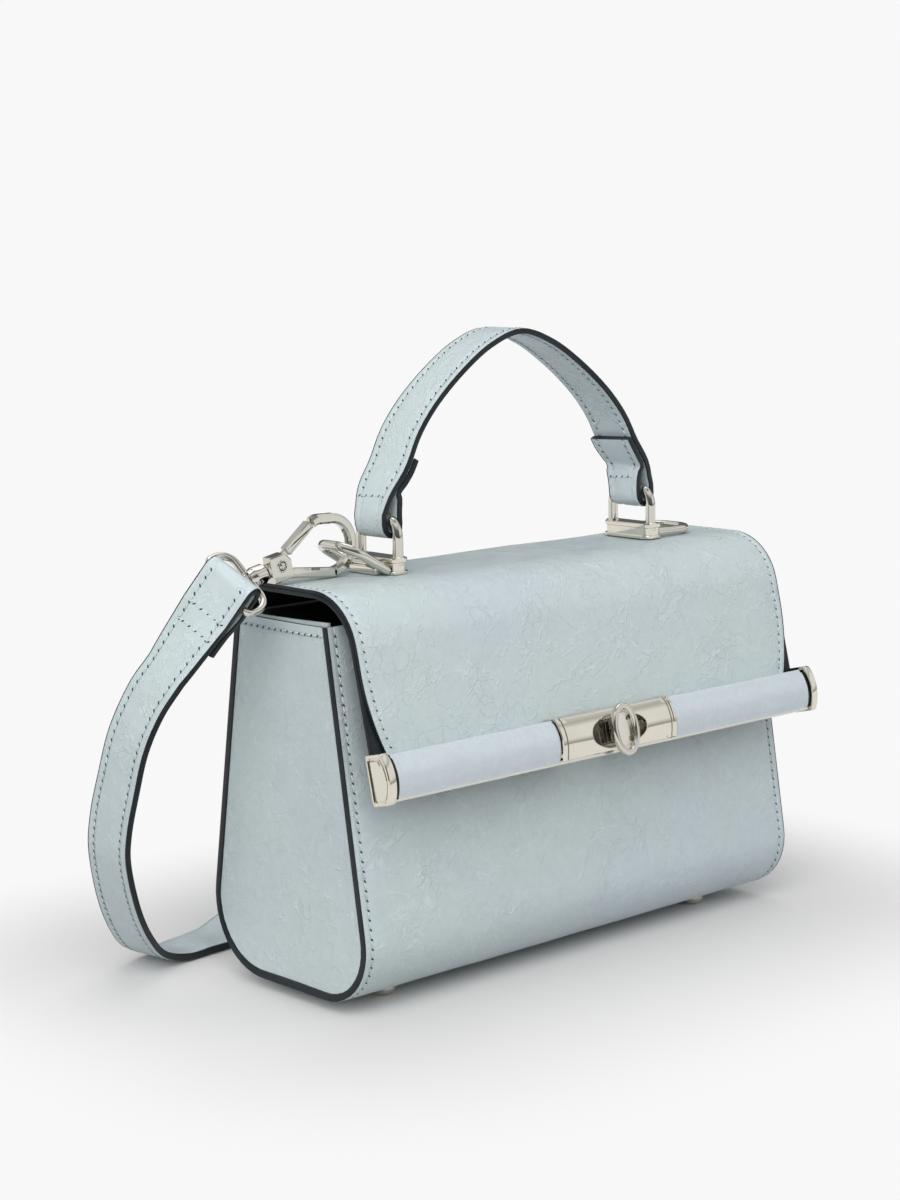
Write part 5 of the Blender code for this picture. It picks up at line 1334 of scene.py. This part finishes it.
def make_camera():
    data = bpy.data.cameras.new("camera")
    data.sensor_width = SENSOR
    data.lens = SENSOR * FOCAL_PIXELS / PICTURE_HEIGHT
    data.clip_start = 0.02
    ahead = Vector((math.sin(YAW) * math.cos(PITCH), math.cos(YAW) * math.cos(PITCH), -math.sin(PITCH)))
    right = Vector((math.cos(YAW), -math.sin(YAW), 0))
    up = right.cross(ahead)
    turned_right = right * math.cos(ROLL) + up * math.sin(ROLL)
    turned_up = up * math.cos(ROLL) - right * math.sin(ROLL)
    pose = Matrix((turned_right, turned_up, -ahead)).transposed().to_4x4()
    pose.translation = CAMERA_PLACE
    camera = linked("camera", data)
    camera.matrix_world = pose
    bpy.context.scene.camera = camera


def make_floor():
    """A pale floor that takes the shadow and fades into the backdrop away from the bag."""
    work = bmesh.new()
    bmesh.ops.create_grid(work, x_segments=2, y_segments=2, size=6.0)
    mesh = bpy.data.meshes.new("floor")
    work.to_mesh(mesh)
    work.free()
    floor = linked("floor", mesh)
    floor.location.z = FLOOR_Z
    g = Graph(bpy.data.materials.new("pale_floor"))
    path = g.add("ShaderNodeLightPath").outputs
    seen = g.math("MAXIMUM", path["Is Camera Ray"], path["Is Glossy Ray"])
    tone = g.mix(seen, (0.54, 0.55, 0.56, 1.0), (0.77, 0.77, 0.77, 1.0))
    g.set(Base_Color=tone, Roughness=0.55, Specular_IOR_Level=0.25)
    level = g.remap(seen, 0.0, 1.0, 0.42, 1.0, smooth=False)
    backdrop = g.add("ShaderNodeEmission", {"Color": BACKDROP, "Strength": level})
    away = g.vector("ABSOLUTE", g.vector("SUBTRACT", g.place, SHADOW_CENTRE))
    away = g.vector("MAXIMUM", g.vector("SUBTRACT", away, SHADOW_REACH), (0.0, 0.0, 0.0))
    fade = g.remap(g.vector("LENGTH", away), 0.02, 0.13)
    surface = g.nodes["Principled BSDF"].outputs[0]
    blend = g.add("ShaderNodeMixShader", {0: fade, 1: surface, 2: backdrop.outputs[0]})
    g.feed(g.nodes["Material Output"].inputs["Surface"], blend.outputs[0])
    mesh.materials.append(g.owner)


def clamped(g, value):
    return g.math("MINIMUM", g.math("MAXIMUM", value, 0.0), 1.0)


def make_world():
    """A plain backdrop for the eye, and for light a room with a dark band and dark sides for metal."""
    g = Graph(bpy.data.worlds.new("studio"))
    bpy.context.scene.world = g.owner
    ray = g.add("ShaderNodeLightPath").outputs
    split = g.add("ShaderNodeSeparateXYZ", {0: g.coordinates["Generated"]}).outputs
    ramp = g.add("ShaderNodeValToRGB", {0: g.math("MULTIPLY_ADD", split["Z"], 0.5, 0.5)})
    stops = ramp.color_ramp.elements
    for stop, (at, level) in ((stops[0], ROOM_LEVELS[0]), (stops[1], ROOM_LEVELS[-1])):
        stop.position, stop.color = at, (level, level, level, 1)
    for at, level in ROOM_LEVELS[1:-1]:
        stops.new(at).color = (level, level, level * 1.01, 1)
    around = g.math("ARCTAN2", split["Y"], split["X"])
    wave = g.math("COSINE", g.math("MULTIPLY_ADD", around, 2.0, math.radians(90)))
    gap = clamped(g, g.math("MULTIPLY", g.math("SUBTRACT", 0.55, wave), 1.4))
    low = clamped(g, g.math("MULTIPLY", g.math("SUBTRACT", 0.62, split["Z"]), 6.0))
    dark = g.math("MULTIPLY", g.math("MULTIPLY", gap, low), ray["Is Glossy Ray"])
    plain = g.math("MULTIPLY_ADD", ray["Is Glossy Ray"], 0.46, 0.50)
    strength = g.math("MULTIPLY", plain, g.math("MULTIPLY_ADD", dark, -0.84, 1.0))
    room = g.add("ShaderNodeBackground", {"Color": ramp.outputs[0], "Strength": strength})
    seen = g.add("ShaderNodeBackground", {"Color": BACKDROP, "Strength": 1.0})
    values = {0: ray["Is Camera Ray"], 1: room.outputs[0], 2: seen.outputs[0]}
    choose = g.add("ShaderNodeMixShader", values)
    g.feed(g.nodes["World Output"].inputs["Surface"], choose.outputs[0])


def make_stage():
    make_camera()
    make_floor()
    make_world()
    for name, place, size, power, tint in LAMPS:
        data = bpy.data.lights.new(name, "AREA")
        data.shape, data.size, data.energy, data.color = "SQUARE", size, power, tint
        lamp = linked(name, data)
        lamp.visible_glossy = name == "top_light"
        lamp.location = place
        lamp.rotation_euler = (LIGHT_TARGET - Vector(place)).to_track_quat("-Z", "Y").to_euler()


def dress_solids():
    """Give the solids that stay in sight their finish."""
    board = ("front_board", "back_board", "base_board")
    steel = [n for n in NODES if n.startswith(("keeper_rivet", "bracket_screw", "backing_plate"))]
    steel += ["lock_cam", "gate_pin_left", "gate_pin_free"]
    for name, node in NODES.items():
        material = BOARD if name in board else STEEL if name in steel else WIRE
        for slot in node.material_slots:
            slot.material = material


dress_solids()
make_stage()
make_body()
make_flap()
make_bar()
make_handle()
make_strap()
for side, word in SIDES:
    make_bracket(side, word)
make_lock()
make_clip("left", CLIP_ORIGIN, CLIP_X, Y, CLIP_Z, EYE_ROLL, "hook_left", "gate_left", "eye_left")
FREE_AXES = [Vector((0.845982, -0.528628, -0.069756)), Vector((0.529919, 0.848048, 0.0))]
FREE_AXES.append(FREE_AXES[0].cross(FREE_AXES[1]))
FREE_ORIGIN = Vector((0.068442, 0.112476, 0.008479))
make_clip("free", FREE_ORIGIN, *FREE_AXES, math.pi / 2, "hook_free", "gate_free", "eye_free")

bpy.context.view_layer.update()

bpy.context.scene.view_settings.view_transform = "Standard"
